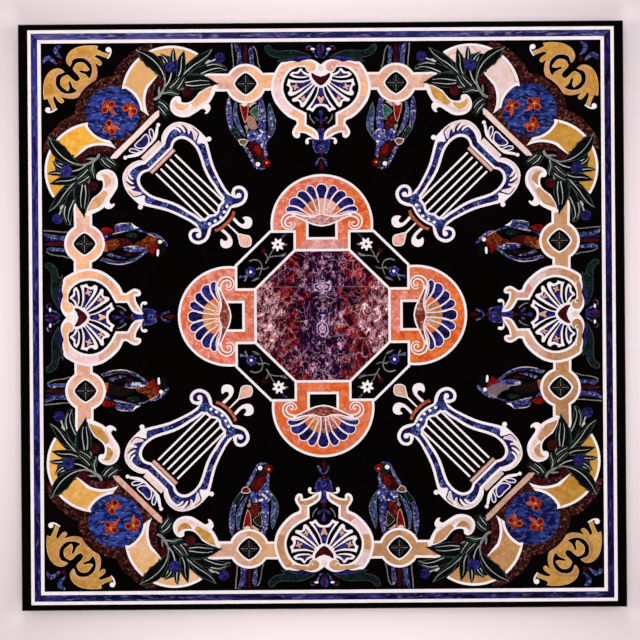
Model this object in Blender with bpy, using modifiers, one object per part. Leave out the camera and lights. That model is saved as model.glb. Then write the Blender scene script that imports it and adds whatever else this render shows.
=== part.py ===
"""Square inlaid marble table top, built in Blender.

A slab of black marble has shallow pockets cut in its upper face. Coloured stones lie in the
pockets, each one flush with the black ground. A border of white, lapis blue and white runs
round the edge. In the middle an octagon of breccia stands between four shell lobes, and lyres,
discs, horns and scrolls fill the corners. A strap of bands and rings links the four sides,
with a bird on each side of every medallion.

The pattern is drawn in millimetres on a square sheet, its origin at the middle, and the same
drawing serves all four sides and all four corners. The black field is a little wider than it
is deep, so the sheet is stretched to it in x. The slab lies on z = 0 with its pattern upward.
"""
from math import atan2, cos, pi, radians, sin, sqrt

import bmesh
import bpy
from mathutils import Vector

MM = 0.001

# Driving dimensions, in millimetres
FIELD_WIDTH = 1008.0
FIELD_DEPTH = 987.0
INNER_FILLET = 6.3
LAPIS_BAND = 11.7
OUTER_FILLET = 6.0
MARGIN_SIDES = 17.0
MARGIN_ENDS = 10.5
SLAB_THICKNESS = 30.0
POCKET_DEPTH = 4.0
BEDDING = 0.3
JOINT = 0.3
ARRIS = 1.5

# Pocket floors that meet within this angle, in degrees, are one face
FLAT_WITHIN = 0.2

# The drawing sheet's half side. What is drawn at this distance touches the border
SHEET_HALF = 493.5

# Centre piece. The octagon's and panels' sizes run to the middle of the white fillet
OCTAGON_HALF = 118.2
OCTAGON_CORNER = 48.0
FILLET = 4.5
PANEL_REACH = 152.0
PANEL_CORNER = 91.2
LOBE_CENTRE = 164.5
LOBE_RADIUS = 90.5
WINDOW_HALF = 23.5
WINDOW_BASE = 141.5
LENS_FOOT = 160.5
LENS_SIDE = 168.0
SHELL_ROOT = 180.0
SHELL_PETALS = ((0.0, 57.0), (20.0, 57.6), (39.0, 57.6), (60.0, 61.4), (79.0, 64.0))
SHELL_NOTCH = 4.5
VOLUTE = (55.0, 168.0)
VOLUTE_RADIUS = 14.0

# Lyres, measured out along the diagonal from the middle and across it. Each string has its place
# across the lyre and the level where it leaves the foot
STRINGS = ((-24.0, 272.0), (-12.0, 270.0), (0.0, 264.5), (12.0, 270.0), (24.0, 272.0))
STRING_WIDTH = 3.6
STRING_TOP = 387.5

# Corner discs, and what is round them, measured from the disc's middle out along the diagonal and across
DISC_INSET = 178.0
DISC_RADIUS = 47.5
DISC_CORNERS = 16
HORN_MEETS_DISC = 3
HORN_LEAVES_DISC = 6
HORN_FAR_CORNER = (37.6, 106.3)
HORN_OUTER_CENTRE = (-50.0, 96.7)
HORN_OUTER_RADIUS = 87.5
HORN_INNER_CENTRE = (-68.0, 98.0)
HORN_INNER_RADIUS = 59.3
BAR_FROM = -62.5
BAR_TO = -53.3
BAR_HALF = 54.0
BAR_FLARE = 3.0

# Side straps
RING_CENTRE = (130.3, 418.7)
RING_RADIUS = 35.8
RING_HOLE = 19.0
INNER_LINK = (406.0, 438.0)
OUTER_LINK = (405.0, 437.0)

SIDES = ("north", "east", "south", "west")
CORNERS = (("north_east", 1, 1), ("north_west", -1, 1), ("south_west", -1, -1), ("south_east", 1, -1))

# Colour, roughness and metallic of each stone
STONES = {
    "black_marble": ((0.006, 0.005, 0.006), 0.22),
    "white_marble": ((0.86, 0.78, 0.74), 0.28),
    "lapis": ((0.03, 0.05, 0.26), 0.25),
    "breccia": ((0.16, 0.03, 0.06), 0.25),
    "orange_marble": ((0.78, 0.20, 0.09), 0.28),
    "peach_marble": ((0.80, 0.48, 0.32), 0.28),
    "cream_marble": ((0.84, 0.62, 0.53), 0.28),
    "yellow_marble": ((0.50, 0.29, 0.07), 0.28),
    "tortoise_breccia": ((0.10, 0.03, 0.02), 0.25),
    "bird_stones": ((0.07, 0.10, 0.24), 0.28),
}


def clear_scene():
    """Empties the open scene."""
    for item in list(bpy.data.objects):
        bpy.data.objects.remove(item, do_unlink=True)


def new_collection(name):
    """A collection under the scene's own."""
    made = bpy.data.collections.new(name)
    bpy.context.scene.collection.children.link(made)
    return made


def stone_material(name):
    """A plain polished stone."""
    colour, roughness = STONES[name]
    material = bpy.data.materials.new(name)
    material.use_nodes = True
    shader = material.node_tree.nodes["Principled BSDF"]
    shader.inputs["Base Color"].default_value = (*colour, 1)
    shader.inputs["Roughness"].default_value = roughness
    shader.inputs["Metallic"].default_value = 0
    return material


def arc(centre, radius, start, end, steps):
    """Points of a circular arc between two angles in degrees, both ends included."""
    points = []
    for i in range(steps + 1):
        angle = radians(start + (end - start) * i / steps)
        points.append((centre[0] + radius * cos(angle), centre[1] + radius * sin(angle)))
    return points


def angle_to(centre, point):
    """The direction in degrees from a centre to a point."""
    return atan2(point[1] - centre[1], point[0] - centre[0]) * 180 / pi


def both_halves(half):
    """Closes a half outline, drawn from axis to axis at x of zero or more, with its mirror image."""
    other = [(-x, y) for x, y in reversed(half) if x > 0]
    return list(half) + other


def both_wings(half):
    """As both_halves, for (out, across) points on a corner's diagonal."""
    other = [(out, -across) for out, across in reversed(half) if across > 0]
    return list(half) + other


def from_diagonal(points):
    """Turns (out, across) on the north-east diagonal into (x, y) on the sheet."""
    return [((out + across) / sqrt(2), (out - across) / sqrt(2)) for out, across in points]


def from_disc(points):
    """Turns (out, across) from the middle of the north-east disc into (x, y) on the sheet."""
    middle = SHEET_HALF * sqrt(2) - DISC_INSET
    return from_diagonal([(middle + out, across) for out, across in points])


def doubled_area(points):
    """Twice the signed area, positive for an anticlockwise outline."""
    total = 0
    for i, (x, y) in enumerate(points):
        last_x, last_y = points[i - 1]
        total += last_x * y - x * last_y
    return total


def grown(points, by):
    """An outline moved outward by a small distance, or inward where it is negative."""
    side = 1 if doubled_area(points) > 0 else -1
    moved = []
    count = len(points)
    for i in range(count):
        here = Vector(points[i])
        before = (here - Vector(points[i - 1])).normalized()
        after = (Vector(points[(i + 1) % count]) - here).normalized()
        first = Vector((before.y, -before.x)) * side
        second = Vector((after.y, -after.x)) * side
        spread = max(1 + first.dot(second), 0.35)
        moved.append(tuple(here + (first + second) * (by / spread)))
    return moved


def to_field(points):
    """Stretches a sheet outline to the black field."""
    across = FIELD_WIDTH / 2 / SHEET_HALF
    deep = FIELD_DEPTH / 2 / SHEET_HALF
    return [(x * across, y * deep) for x, y in points]


def turned(points, side):
    """A north-side outline laid on another side of the sheet."""
    if side == "east":
        return [(y, x) for x, y in points]
    if side == "south":
        return [(x, -y) for x, y in points]
    if side == "west":
        return [(-y, x) for x, y in points]
    return list(points)


def flipped(points, sign_x, sign_y):
    """A north-east outline laid in another quarter of the sheet."""
    return [(x * sign_x, y * sign_y) for x, y in points]


def flat_solid(name, outlines, low, high, collection):
    """A plate between two heights, closed, from outlines on the field; inner outlines are holes."""
    curve = bpy.data.curves.new(name, "CURVE")
    curve.dimensions = "2D"
    curve.fill_mode = "BOTH"
    curve.extrude = (high - low) / 2 * MM
    for outline in outlines:
        spline = curve.splines.new("POLY")
        spline.points.add(len(outline) - 1)
        for point, (x, y) in zip(spline.points, outline):
            point.co = (x * MM, y * MM, 0, 1)
        spline.use_cyclic_u = True
    drawn = bpy.data.objects.new(name + "_outline", curve)
    collection.objects.link(drawn)
    drawn.location.z = (high + low) / 2 * MM
    bpy.context.view_layer.update()
    evaluated = drawn.evaluated_get(bpy.context.evaluated_depsgraph_get())
    mesh = bpy.data.meshes.new_from_object(evaluated)
    mesh.name = name
    mesh.transform(drawn.matrix_world)
    shell = bmesh.new()
    shell.from_mesh(mesh)
    bmesh.ops.remove_doubles(shell, verts=shell.verts, dist=0.00001)
    bmesh.ops.recalc_face_normals(shell, faces=shell.faces)
    if shell.calc_volume(signed=True) < 0:
        bmesh.ops.reverse_faces(shell, faces=shell.faces)
    shell.to_mesh(mesh)
    shell.free()
    bpy.data.objects.remove(drawn, do_unlink=True)
    bpy.data.curves.remove(curve)
    solid = bpy.data.objects.new(name, mesh)
    collection.objects.link(solid)
    return solid


class Workshop:
    """Lays stones in the slab and keeps the pockets to be cut for them."""

    def __init__(self):
        self.parts = new_collection("inlaid_marble_tile")
        self.cutters = new_collection("pocket_cutters")
        self.materials = {name: stone_material(name) for name in STONES}
        self.pockets = []

    def lay(self, name, outlines, stone):
        """One stone. The first outline is its edge, and the others are holes in it."""
        edge, *holes = [to_field(outline) for outline in outlines]
        gap = JOINT / 2
        shape = [grown(edge, -gap)] + [grown(hole, gap) for hole in holes]
        low = SLAB_THICKNESS - POCKET_DEPTH + BEDDING
        solid = flat_solid(name, shape, low, SLAB_THICKNESS, self.parts)
        solid.data.materials.clear()
        solid.data.materials.append(self.materials[stone])
        return [grown(edge, gap)] + [grown(hole, -gap) for hole in holes]

    def motif(self, name, outlines, stone, places):
        """The same stone in several places, and one cutter for all their pockets."""
        pocket = []
        for place, move in places:
            full_name = f"{name}_{place}" if place else name
            pocket += self.lay(full_name, [move(outline) for outline in outlines], stone)
        self.pockets.append((name, pocket))

    def cut_slab(self, slab):
        """Cuts every pocket into the slab, one motif at a time."""
        low = SLAB_THICKNESS - POCKET_DEPTH
        high = SLAB_THICKNESS + POCKET_DEPTH
        for name, outlines in self.pockets:
            cutter = flat_solid(name + "_pocket", outlines, low, high, self.cutters)
            cutter.hide_render = True
            cutter.display_type = "WIRE"
            cut = slab.modifiers.new(name, "BOOLEAN")
            cut.operation = "DIFFERENCE"
            cut.solver = "EXACT"
            cut.object = cutter
        level = slab.modifiers.new("level_floors", "DECIMATE")
        level.decimate_type = "DISSOLVE"
        level.angle_limit = radians(FLAT_WITHIN)


def at_centre():
    return [("", lambda points: list(points))]


def on_sides():
    return [(side, lambda points, side=side: turned(points, side)) for side in SIDES]


def in_corners():
    return [
        (name, lambda points, sx=sx, sy=sy: flipped(points, sx, sy)) for name, sx, sy in CORNERS
    ]


def beside_medallions():
    """Both sides of each medallion."""
    places = []
    for side in SIDES:
        for hand, sign in (("left", -1), ("right", 1)):
            places.append((
                f"{side}_{hand}",
                lambda points, side=side, sign=sign: turned(
                    [(x * sign, y) for x, y in points], side
                ),
            ))
    return places


def beside_discs():
    """Both sides of each corner's diagonal."""
    places = []
    for name, sign_x, sign_y in CORNERS:
        for hand, swap in (("end", True), ("side", False)):
            places.append((
                f"{name}_{hand}",
                lambda points, sx=sign_x, sy=sign_y, swap=swap: flipped(
                    [(y, x) if swap else (x, y) for x, y in points], sx, sy
                ),
            ))
    return places


def rectangle(half_x, half_y):
    return [(half_x, half_y), (-half_x, half_y), (-half_x, -half_y), (half_x, -half_y)]


def add_border(shop):
    """Three rings round the black field, set in one stepped groove of even depth."""
    half_x, half_y = FIELD_WIDTH / 2, FIELD_DEPTH / 2
    reaches = [0.0]
    for width in (INNER_FILLET, LAPIS_BAND, OUTER_FILLET):
        reaches.append(reaches[-1] + width)
    rings = (("inner_fillet", "white_marble"), ("lapis_border", "lapis"), ("outer_fillet", "white_marble"))
    gap = JOINT / 2
    low = SLAB_THICKNESS - POCKET_DEPTH + BEDDING
    for (name, stone), inner, outer in zip(rings, reaches, reaches[1:]):
        shape = [
            rectangle(half_x + outer - gap, half_y + outer - gap),
            rectangle(half_x + inner + gap, half_y + inner + gap),
        ]
        ring = flat_solid(name, shape, low, SLAB_THICKNESS, shop.parts)
        ring.data.materials.clear()
        ring.data.materials.append(shop.materials[stone])
    groove = [
        rectangle(half_x + reaches[-1] + gap, half_y + reaches[-1] + gap),
        rectangle(half_x - gap, half_y - gap),
    ]
    shop.pockets.append(("border", groove))


def octagon(half, corner):
    quarter = [(half, corner), (corner, half)]
    return (
        quarter
        + [(-x, y) for x, y in reversed(quarter)]
        + [(-x, -y) for x, y in quarter]
        + [(x, -y) for x, y in reversed(quarter)]
    )


def panel_outline():
    """The slanting flower panel north-east of the octagon."""
    return [
        (OCTAGON_HALF, OCTAGON_CORNER),
        (PANEL_REACH, OCTAGON_CORNER),
        (PANEL_REACH, PANEL_CORNER),
        (PANEL_CORNER, PANEL_REACH),
        (OCTAGON_CORNER, PANEL_REACH),
        (OCTAGON_CORNER, OCTAGON_HALF),
    ]


def add_centre(shop):
    """The octagon and the white fillet that frames it and the four flower panels."""
    stone = grown(octagon(OCTAGON_HALF, OCTAGON_CORNER), -FILLET / 2)
    shop.motif("centre_octagon", [stone], "breccia", at_centre())
    edge = []
    for sign_x, sign_y in ((1, 1), (-1, 1), (-1, -1), (1, -1)):
        corner = flipped(panel_outline(), sign_x, sign_y)
        edge += corner if sign_x == sign_y else list(reversed(corner))
    panel = grown(panel_outline(), -FILLET / 2)
    holes = [flipped(panel, sign_x, sign_y) for _, sign_x, sign_y in CORNERS]
    shop.motif("centre_fillet", [grown(edge, FILLET / 2), stone] + holes, "white_marble", at_centre())


def shell_outline():
    """A scalloped fan of nine petals on a lens-shaped base, with a volute at each end."""
    half = [(0, LENS_FOOT), (WINDOW_HALF, LENS_SIDE)]
    half += arc(VOLUTE, VOLUTE_RADIUS, -170, 60, 4)
    petals = list(reversed(SHELL_PETALS))
    for i, (angle, reach) in enumerate(petals):
        half.append((reach * sin(radians(angle)), SHELL_ROOT + reach * cos(radians(angle))))
        if i + 1 < len(petals):
            middle = radians((angle + petals[i + 1][0]) / 2)
            notch = (reach + petals[i + 1][1]) / 2 - SHELL_NOTCH
            half.append((notch * sin(middle), SHELL_ROOT + notch * cos(middle)))
    return both_halves(half)


def add_lobes(shop):
    """Four horseshoe frames on the octagon's flat sides, each round a shell and a black window."""
    shell = shell_outline()
    foot = OCTAGON_HALF + FILLET / 2
    side = OCTAGON_CORNER - FILLET / 2
    base = PANEL_REACH + FILLET / 2
    slope = atan2(base - LOBE_CENTRE, sqrt(LOBE_RADIUS**2 - (base - LOBE_CENTRE) ** 2)) * 180 / pi
    half = [(0, foot), (side, foot), (side, base)]
    half += arc((0, LOBE_CENTRE), LOBE_RADIUS, slope, 90, 6)
    hole = [(0, WINDOW_BASE), (WINDOW_HALF, WINDOW_BASE), (WINDOW_HALF, LENS_SIDE)]
    hole += [(x, y) for x, y in shell if x > WINDOW_HALF or (x >= 0 and y > SHELL_ROOT)]
    shop.motif("lobe_frame", [both_halves(half), both_halves(hole)], "orange_marble", on_sides())
    shop.motif("lobe_shell", [shell], "lapis", on_sides())


def lyre_outline():
    """Half the lyre's edge, from its foot round the scroll, up the arm and over the leaf cap."""
    half = [(244.5, 0), (249, 27.5), (240.5, 47), (248, 64), (266, 66), (273, 53), (265, 42)]
    half += [(284, 43.5), (313, 52.5), (361, 78), (366, 90), (374, 84), (396, 84.5)]
    half += [(420, 76), (432.5, 57), (426, 27), (413.5, 22), (413.5, 0)]
    return both_wings(half)


def lyre_opening():
    """The black space between the arms, with the five strings standing up into it from the foot."""
    edge = []
    for across, level in STRINGS:
        edge.append((level, across - STRING_WIDTH / 2))
        edge.append((STRING_TOP, across - STRING_WIDTH / 2))
        edge.append((STRING_TOP, across + STRING_WIDTH / 2))
        edge.append((level, across + STRING_WIDTH / 2))
    arm = [(275, 27.5), (313, 33.5), (366, 57), (390, 57.5), (404.5, 44), (400, 29), (392.8, 29)]
    return edge + arm + [(out, -across) for out, across in reversed(arm)]


def add_lyres(shop):
    """Four lyres, their feet toward the middle."""
    outlines = [from_diagonal(lyre_outline()), from_diagonal(lyre_opening())]
    shop.motif("lyre", outlines, "lapis", in_corners())


def disc_outline():
    """The disc's corners, counted from the diagonal."""
    return arc((0, 0), DISC_RADIUS, 0, 360, DISC_CORNERS)[:-1]


def horn_back():
    """The horn's outer arc, from its far corner to the disc."""
    near = disc_outline()[HORN_MEETS_DISC]
    centre = HORN_OUTER_CENTRE
    start, end = angle_to(centre, HORN_FAR_CORNER), angle_to(centre, near)
    return arc(centre, HORN_OUTER_RADIUS, start, end, 3)[:-1] + [near]


def horn_outline():
    """The broad end of a horn, between two arcs, its near end hollowed to the disc."""
    centre = HORN_INNER_CENTRE
    start, end = angle_to(centre, (-50.8, 41.2)), angle_to(centre, (-9.5, 104.0))
    points = horn_back() + disc_outline()[HORN_MEETS_DISC + 1:HORN_LEAVES_DISC + 1]
    return points + arc(centre, HORN_INNER_RADIUS, start, end, 3) + [(14, 101.5)]


def cloud_outline():
    """A scalloped band behind disc and horns: seven lobes outside, the horns' and disc's edges inside."""
    half = [(62, 0), (58, 28), (45, 48.5), (53, 66), (53, 98), (37, 137), (30, 131)]
    return both_wings(half + horn_back() + disc_outline()[HORN_MEETS_DISC - 1::-1])


def gold_scroll_outline():
    """Two crescents joined by a ring open at the top, with a pair of commas inside it."""
    half = [(64.8, 0), (64, 21), (83, 42.5), (72, 48.5), (92, 52), (74, 63.5)]
    half += [(81.5, 69.5), (105, 66), (125, 45), (130, 22), (112.2, 4.5), (115, 21), (105, 35)]
    half += [(90, 37), (74, 22), (73, 14), (95, 12.6), (83.5, 24), (97, 26), (107.5, 17)]
    half += [(103.5, 5.6), (83, 0)]
    return both_wings(half)


def bar_outline():
    """A straight bar across the diagonal, its ends cut on a slant."""
    end, flared = BAR_HALF, BAR_HALF + BAR_FLARE
    return [(BAR_FROM, -end), (BAR_FROM, end), (BAR_TO, flared), (BAR_TO, -flared)]


def add_corners(shop):
    """In each corner a disc, two horns, a scalloped band, a scroll and a bar."""
    shop.motif("corner_disc", [from_disc(disc_outline())], "lapis", in_corners())
    shop.motif("horn", [from_disc(horn_outline())], "cream_marble", beside_discs())
    shop.motif("cloud_band", [from_disc(cloud_outline())], "tortoise_breccia", in_corners())
    shop.motif("gold_scroll", [from_disc(gold_scroll_outline())], "yellow_marble", in_corners())
    shop.motif("corner_bar", [from_disc(bar_outline())], "cream_marble", in_corners())


def ring_angle(level):
    """The angle in degrees at which a ring's edge crosses a level, on its right-hand side."""
    rise = (level - RING_CENTRE[1]) / RING_RADIUS
    return atan2(rise, sqrt(1 - rise * rise)) * 180 / pi


def strap_outline():
    """Half a side strap: bonnet, medallion band, link, ring, link and C-scroll, and back below."""
    inner_base, inner_top = INNER_LINK
    outer_base, outer_top = OUTER_LINK
    half = [(0, 456), (15, 461), (67, 456), (79.5, inner_top)]
    half += arc(RING_CENTRE, RING_RADIUS, 180 - ring_angle(inner_top), ring_angle(outer_top), 4)
    half += [(186, outer_top), (183, 419), (214, 405), (232, 386), (254.5, 396), (266, 380)]
    half += [(252, 360), (212, 371), (199, 365), (195, 381), (184, outer_base)]
    half += arc(RING_CENTRE, RING_RADIUS, ring_angle(outer_base), -180 - ring_angle(inner_base), 4)
    half += [(85.5, inner_base), (73, 377), (43, 350), (49, 330), (40, 320), (29, 328), (4, 311)]
    half += [(7, 333), (22.5, 345), (22.5, 365), (52, 383), (65, 411), (51, 445), (27, 447), (15, 432)]
    return both_halves(half + [(0, 431)])


def ring_holes():
    """The lozenge opening of each ring."""
    across, level = RING_CENTRE
    hole = [(RING_HOLE, 0), (0, RING_HOLE), (-RING_HOLE, 0), (0, -RING_HOLE)]
    right = [(across + x, level + y) for x, y in hole]
    return [right, [(-x, y) for x, y in right]]


def fan_outline():
    """The small fan shell that hangs head down in each medallion."""
    half = [(0, 429), (18, 429), (33, 442), (52, 433), (34, 427), (58, 424), (54, 399), (28, 409)]
    half += [(48, 388), (33, 377), (15, 396), (23, 370), (0, 368)]
    return both_halves(half)


def bird_outline():
    """A plain bird seen from behind, head toward the middle, spread below its ring."""
    return [
        (107, 264), (121, 270), (127, 286), (154, 324), (165, 352), (166, 377), (157, 388),
        (130, 379), (97, 391), (84, 383), (79, 345), (96, 316), (94, 276),
    ]


def add_sides(shop):
    """On each side a strap with its medallion, a fan in the medallion and two birds."""
    shop.motif("side_strap", [strap_outline()] + ring_holes(), "peach_marble", on_sides())
    shop.motif("medallion_fan", [fan_outline()], "lapis", on_sides())
    shop.motif("bird", [bird_outline()], "bird_stones", beside_medallions())


def add_slab(shop):
    """The black slab, its top edge eased by a small arris."""
    border = INNER_FILLET + LAPIS_BAND + OUTER_FILLET
    half_x = FIELD_WIDTH / 2 + border + MARGIN_SIDES
    half_y = FIELD_DEPTH / 2 + border + MARGIN_ENDS
    slab = flat_solid("black_slab", [rectangle(half_x, half_y)], 0, SLAB_THICKNESS, shop.parts)
    slab.data.materials.clear()
    slab.data.materials.append(shop.materials["black_marble"])
    arris = slab.modifiers.new("arris", "BEVEL")
    arris.width = ARRIS * MM
    arris.segments = 1
    arris.limit_method = "ANGLE"
    shop.cut_slab(slab)
    return slab


def main():
    clear_scene()
    shop = Workshop()
    add_border(shop)
    add_centre(shop)
    add_lobes(shop)
    add_lyres(shop)
    add_corners(shop)
    add_sides(shop)
    add_slab(shop)


main()
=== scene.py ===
# %% [markdown]
# # An inlaid marble tile
# A heavy square slab of black marble, with a symmetrical pattern of thin coloured stones let into its top and
# polished flush with it. The real thing is made by sawing every stone to its outline, laying all of them in a
# shallow bed in the slab, filling the hairline joints and rubbing the whole top flat. The script goes the same
# way: it draws the outlines, cuts the top into stones along them, gives every stone its thickness, and then
# its kind of marble.

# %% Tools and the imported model
from math import cos, pi, radians, sin, sqrt

import bpy
import numpy as np
from mathutils.geometry import delaunay_2d_cdt
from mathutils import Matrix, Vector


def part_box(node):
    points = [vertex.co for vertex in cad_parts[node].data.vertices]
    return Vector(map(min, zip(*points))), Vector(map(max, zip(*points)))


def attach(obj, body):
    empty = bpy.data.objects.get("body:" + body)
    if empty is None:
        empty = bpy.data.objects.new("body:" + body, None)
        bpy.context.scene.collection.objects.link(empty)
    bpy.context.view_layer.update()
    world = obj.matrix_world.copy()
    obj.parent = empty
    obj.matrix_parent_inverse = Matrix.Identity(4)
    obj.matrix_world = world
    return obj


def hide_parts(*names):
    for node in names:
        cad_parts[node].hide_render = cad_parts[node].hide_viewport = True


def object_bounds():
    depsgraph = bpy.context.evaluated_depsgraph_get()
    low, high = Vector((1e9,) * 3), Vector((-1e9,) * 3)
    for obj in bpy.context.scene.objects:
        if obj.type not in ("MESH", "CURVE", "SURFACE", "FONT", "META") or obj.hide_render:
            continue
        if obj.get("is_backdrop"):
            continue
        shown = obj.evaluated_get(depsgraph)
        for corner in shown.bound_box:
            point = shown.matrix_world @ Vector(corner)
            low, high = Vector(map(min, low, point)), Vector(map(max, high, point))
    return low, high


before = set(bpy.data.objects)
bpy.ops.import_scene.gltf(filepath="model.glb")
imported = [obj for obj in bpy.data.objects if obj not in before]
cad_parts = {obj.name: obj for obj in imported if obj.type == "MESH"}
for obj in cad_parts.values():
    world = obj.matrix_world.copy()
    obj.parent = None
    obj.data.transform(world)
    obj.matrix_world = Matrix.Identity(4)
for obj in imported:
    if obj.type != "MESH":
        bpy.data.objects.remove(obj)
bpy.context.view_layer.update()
print("packed pieces:", len(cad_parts))

# %% [markdown]
# ## Lines
# A pattern like this begins as a full-size drawing that is pricked through onto the slabs. Here every line
# is a row of points in millimetres from the middle of the tile, and a smooth curve is laid through them as
# with a bent lath. So a few points are enough for a leaf, and the line stays clean at any size.

# %% Lines
def marks(points):
    """Points as an array with a row for each. They may be written "x,y x,y", to keep a long line short."""
    if isinstance(points, str):
        points = [pair.split(",") for pair in points.split()]
    return np.asarray(points, float)


def ways(a):
    """Arrows of length one at the given angles."""
    return np.stack([np.cos(a), np.sin(a)], 1)


def left_of(arrows):
    """Every arrow turned a quarter to the left."""
    return np.stack([-arrows[:, 1], arrows[:, 0]], 1)


print("three marks:", marks("0,0 1,2 3,4").tolist())

# %% [markdown]
# ## Curves through points
# Every stone's edge is sawn in one sweep from corner to corner. A run of points gives one sweep, and an
# outline is one or more runs, with a corner wherever two of them meet.

# %% Curves through points
STEP, MOST = 2.4, 14  # mm between the points of a finished curve, and the most points of one span
SAME = 0.02  # mm: points nearer than this count as one


def smooth(points):
    """A curve through the given points. Each span is a cubic that starts at one point and ends at the next,
    and its slope at a point is half the way from the point before to the point after."""
    points = marks(points)
    if len(points) < 3:
        return points
    ends = np.vstack([2 * points[0] - points[1], points, 2 * points[-1] - points[-2]])
    lengths = np.linalg.norm(np.diff(points, axis=0), axis=1)
    counts = np.clip(np.ceil(lengths / STEP), 1, MOST).astype(int)
    span = np.repeat(np.arange(len(counts)), counts)
    start = np.repeat(np.cumsum(counts) - counts, counts)
    t = ((np.arange(len(span)) - start) / counts[span])[:, None]
    a, b, c, d = (ends[span + i] for i in range(4))
    curve = b + t * (c - a) / 2 + t**2 * (a - 2.5 * b + 2 * c - d / 2) + t**3 * (1.5 * (b - c) + (d - a) / 2)
    return np.vstack([curve, points[-1]])


def outline(*runs):
    """A closed outline. Each run is a smooth curve that begins at the last run's end, so there is a
    corner where two runs meet and nowhere else."""
    line = smooth(runs[0])
    for run in runs[1:]:
        line = np.vstack([line, smooth(np.vstack([line[-1:], marks(run)]))[1:]])
    return line


def tidy(line):
    """Drops points that repeat the one before them."""
    line = marks(line)
    keep = np.linalg.norm(line - np.roll(line, 1, axis=0), axis=1) > SAME
    return line[keep]


def circle(centre, radius, count=None):
    """Centre plus radius times (cos a, sin a), a running once round."""
    count = count or int(np.clip(2 * pi * radius / STEP, 10, 60))
    a = np.arange(count) * 2 * pi / count
    return np.asarray(centre) + radius * ways(a)


def arc(centre, radius, start, end):
    """Part of such a circle, between two angles in degrees."""
    count = max(2, int(abs(radians(end - start)) * radius / STEP) + 1)
    a = np.radians(np.linspace(start, end, count))
    return np.asarray(centre) + radius * ways(a)


def area(line):
    """Half the sum of the cross products of neighbouring points: positive when drawn anticlockwise."""
    x, y = line.T
    return (x * np.roll(y, -1) - np.roll(x, -1) * y).sum() / 2


print("points of a circle of 50 mm:", len(circle((0, 0), 50)))

# %% [markdown]
# ## Bands and leaves
# Many stones are thin bands or leaves. Both follow a middle line, so they are drawn as that line and a
# width. An outline moved inward gives the stone inside a pale edge, or the edge itself.

# %% Bands and leaves
SHARPEST = 0.3  # keeps the tip of a sharp corner from running far inward


def inset(line, by):
    """Moves a closed outline inward. Each point goes along the sum of its two sides' normals, far
    enough to keep both sides the same distance from where they were."""
    line = tidy(line)
    if area(line) < 0:
        line = line[::-1]
    along = np.roll(line, -1, axis=0) - line
    along /= np.linalg.norm(along, axis=1)[:, None]
    after = left_of(along)
    before = np.roll(after, 1, axis=0)
    spread = np.maximum(1 + (before * after).sum(1), SHARPEST)
    return line + (before + after) * (by / spread)[:, None]


def slopes(path):
    """The direction of a path at each of its points, as an arrow of length one."""
    slope = np.gradient(path, axis=0)
    return slope / np.linalg.norm(slope, axis=1)[:, None]


def stroke(path, width, round_ends=False):
    """A band along a path: half the width is added to each side along the path's normal. The width is one
    number, or several that it runs through from the path's start to its end."""
    path = tidy(smooth(path))
    slope = slopes(path)
    side = left_of(slope)
    widths = np.atleast_1d(width)
    half = np.interp(np.linspace(0, 1, len(path)), np.linspace(0, 1, len(widths)), widths)
    half = half[:, None] / 2
    left, right = path + side * half, path - side * half
    if round_ends:
        fan = np.radians(np.linspace(-60, 60, 5))[:, None]
        cap = path[-1] + half[-1] * (np.cos(fan) * slope[-1] + np.sin(fan) * side[-1])
        foot = path[0] - half[0] * (np.cos(fan) * slope[0] + np.sin(fan) * side[0])
        return np.vstack([right, cap, left[::-1], foot])
    return np.vstack([right, left[::-1]])


def leaf(path, width, full=0.4):
    """A pointed leaf along a path. Its half width is the sine of pi times the share of the way along,
    the share bent so that the leaf is fullest where full says."""
    path = tidy(smooth(path))
    side = left_of(slopes(path))
    share = np.linspace(0, 1, len(path)) ** (np.log(0.5) / np.log(full))
    half = (np.sin(pi * share) * width / 2)[:, None]
    return np.vstack([path + side * half, (path - side * half)[-2:0:-1]])


print("area of a leaf, mm2:", round(area(leaf("0,0 10,0 20,0", 8)), 1))

# %% [markdown]
# ## Places
# The pattern repeats by reflection, so a motif is drawn once and laid at each of its places in the upper
# right quarter: on a side, turned onto the other side, along the corner's diagonal, or on both sides of it.
# A stone laid later covers what was laid before, as when a worker lets one stone into another.

# %% Places
K = 504 / 493.5  # the drawing is square, and this stretches it across at the end


def from_diagonal(points):
    """Out along the corner's diagonal and across it, turned by 45 degrees into x and y."""
    out, across = marks(points).T
    return np.stack([(out + across), (out - across)], 1) / sqrt(2)


def same(points):
    """Points as they are, in x and y."""
    return marks(points)


def swapped(points):
    """Points of a motif that lies on its side: x and y change places."""
    return marks(points)[:, ::-1]


def raw(points):
    """Points read on the stretched tile, brought back to the square drawing."""
    return marks(points) / (K, 1)


CENTRE = (("", same),)
SIDE = (("north", same), ("east", swapped))
AXIS = (("corner", from_diagonal),)
WINGS = (("corner", from_diagonal), ("corner", lambda points: from_diagonal(marks(points) * (1, -1))))
ENDS = (("corner_end", same), ("corner_side", swapped))
UPRIGHT = (("north", same),)
SIDEWAYS = (("east", swapped),)
PLAIN = (("corner", same),)
REGIONS = []


def lay(piece, stone, places, *outlines, within=None):
    """Adds one stone to the drawing. What is laid later lies over what was laid before."""
    for place, move in places:
        lines = []
        for line in outlines + (() if within is None else (within,)):
            line = tidy(move(marks(line)))
            lines.append(line if area(line) > 0 else line[::-1])
        REGIONS.append((piece, place, stone, lines, within is not None))


def motif(piece, places):
    """A shorter way to lay the stones of one motif at one set of places."""
    def put(stone, *outlines, within=None):
        """Lays one stone of the motif."""
        lay(piece, stone, places, *outlines, within=within)
    return put


def both(half):
    """A half outline, from axis to axis, closed with its mirror image across the first axis."""
    half = marks(half)
    other = half[::-1] * (-1, 1)
    return np.vstack([half, other[other[:, 0] < -0.01]])


def outlined(read, *runs):
    """An outline whose runs are all read in the same way."""
    return outline(*[read(run) for run in runs])


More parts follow.
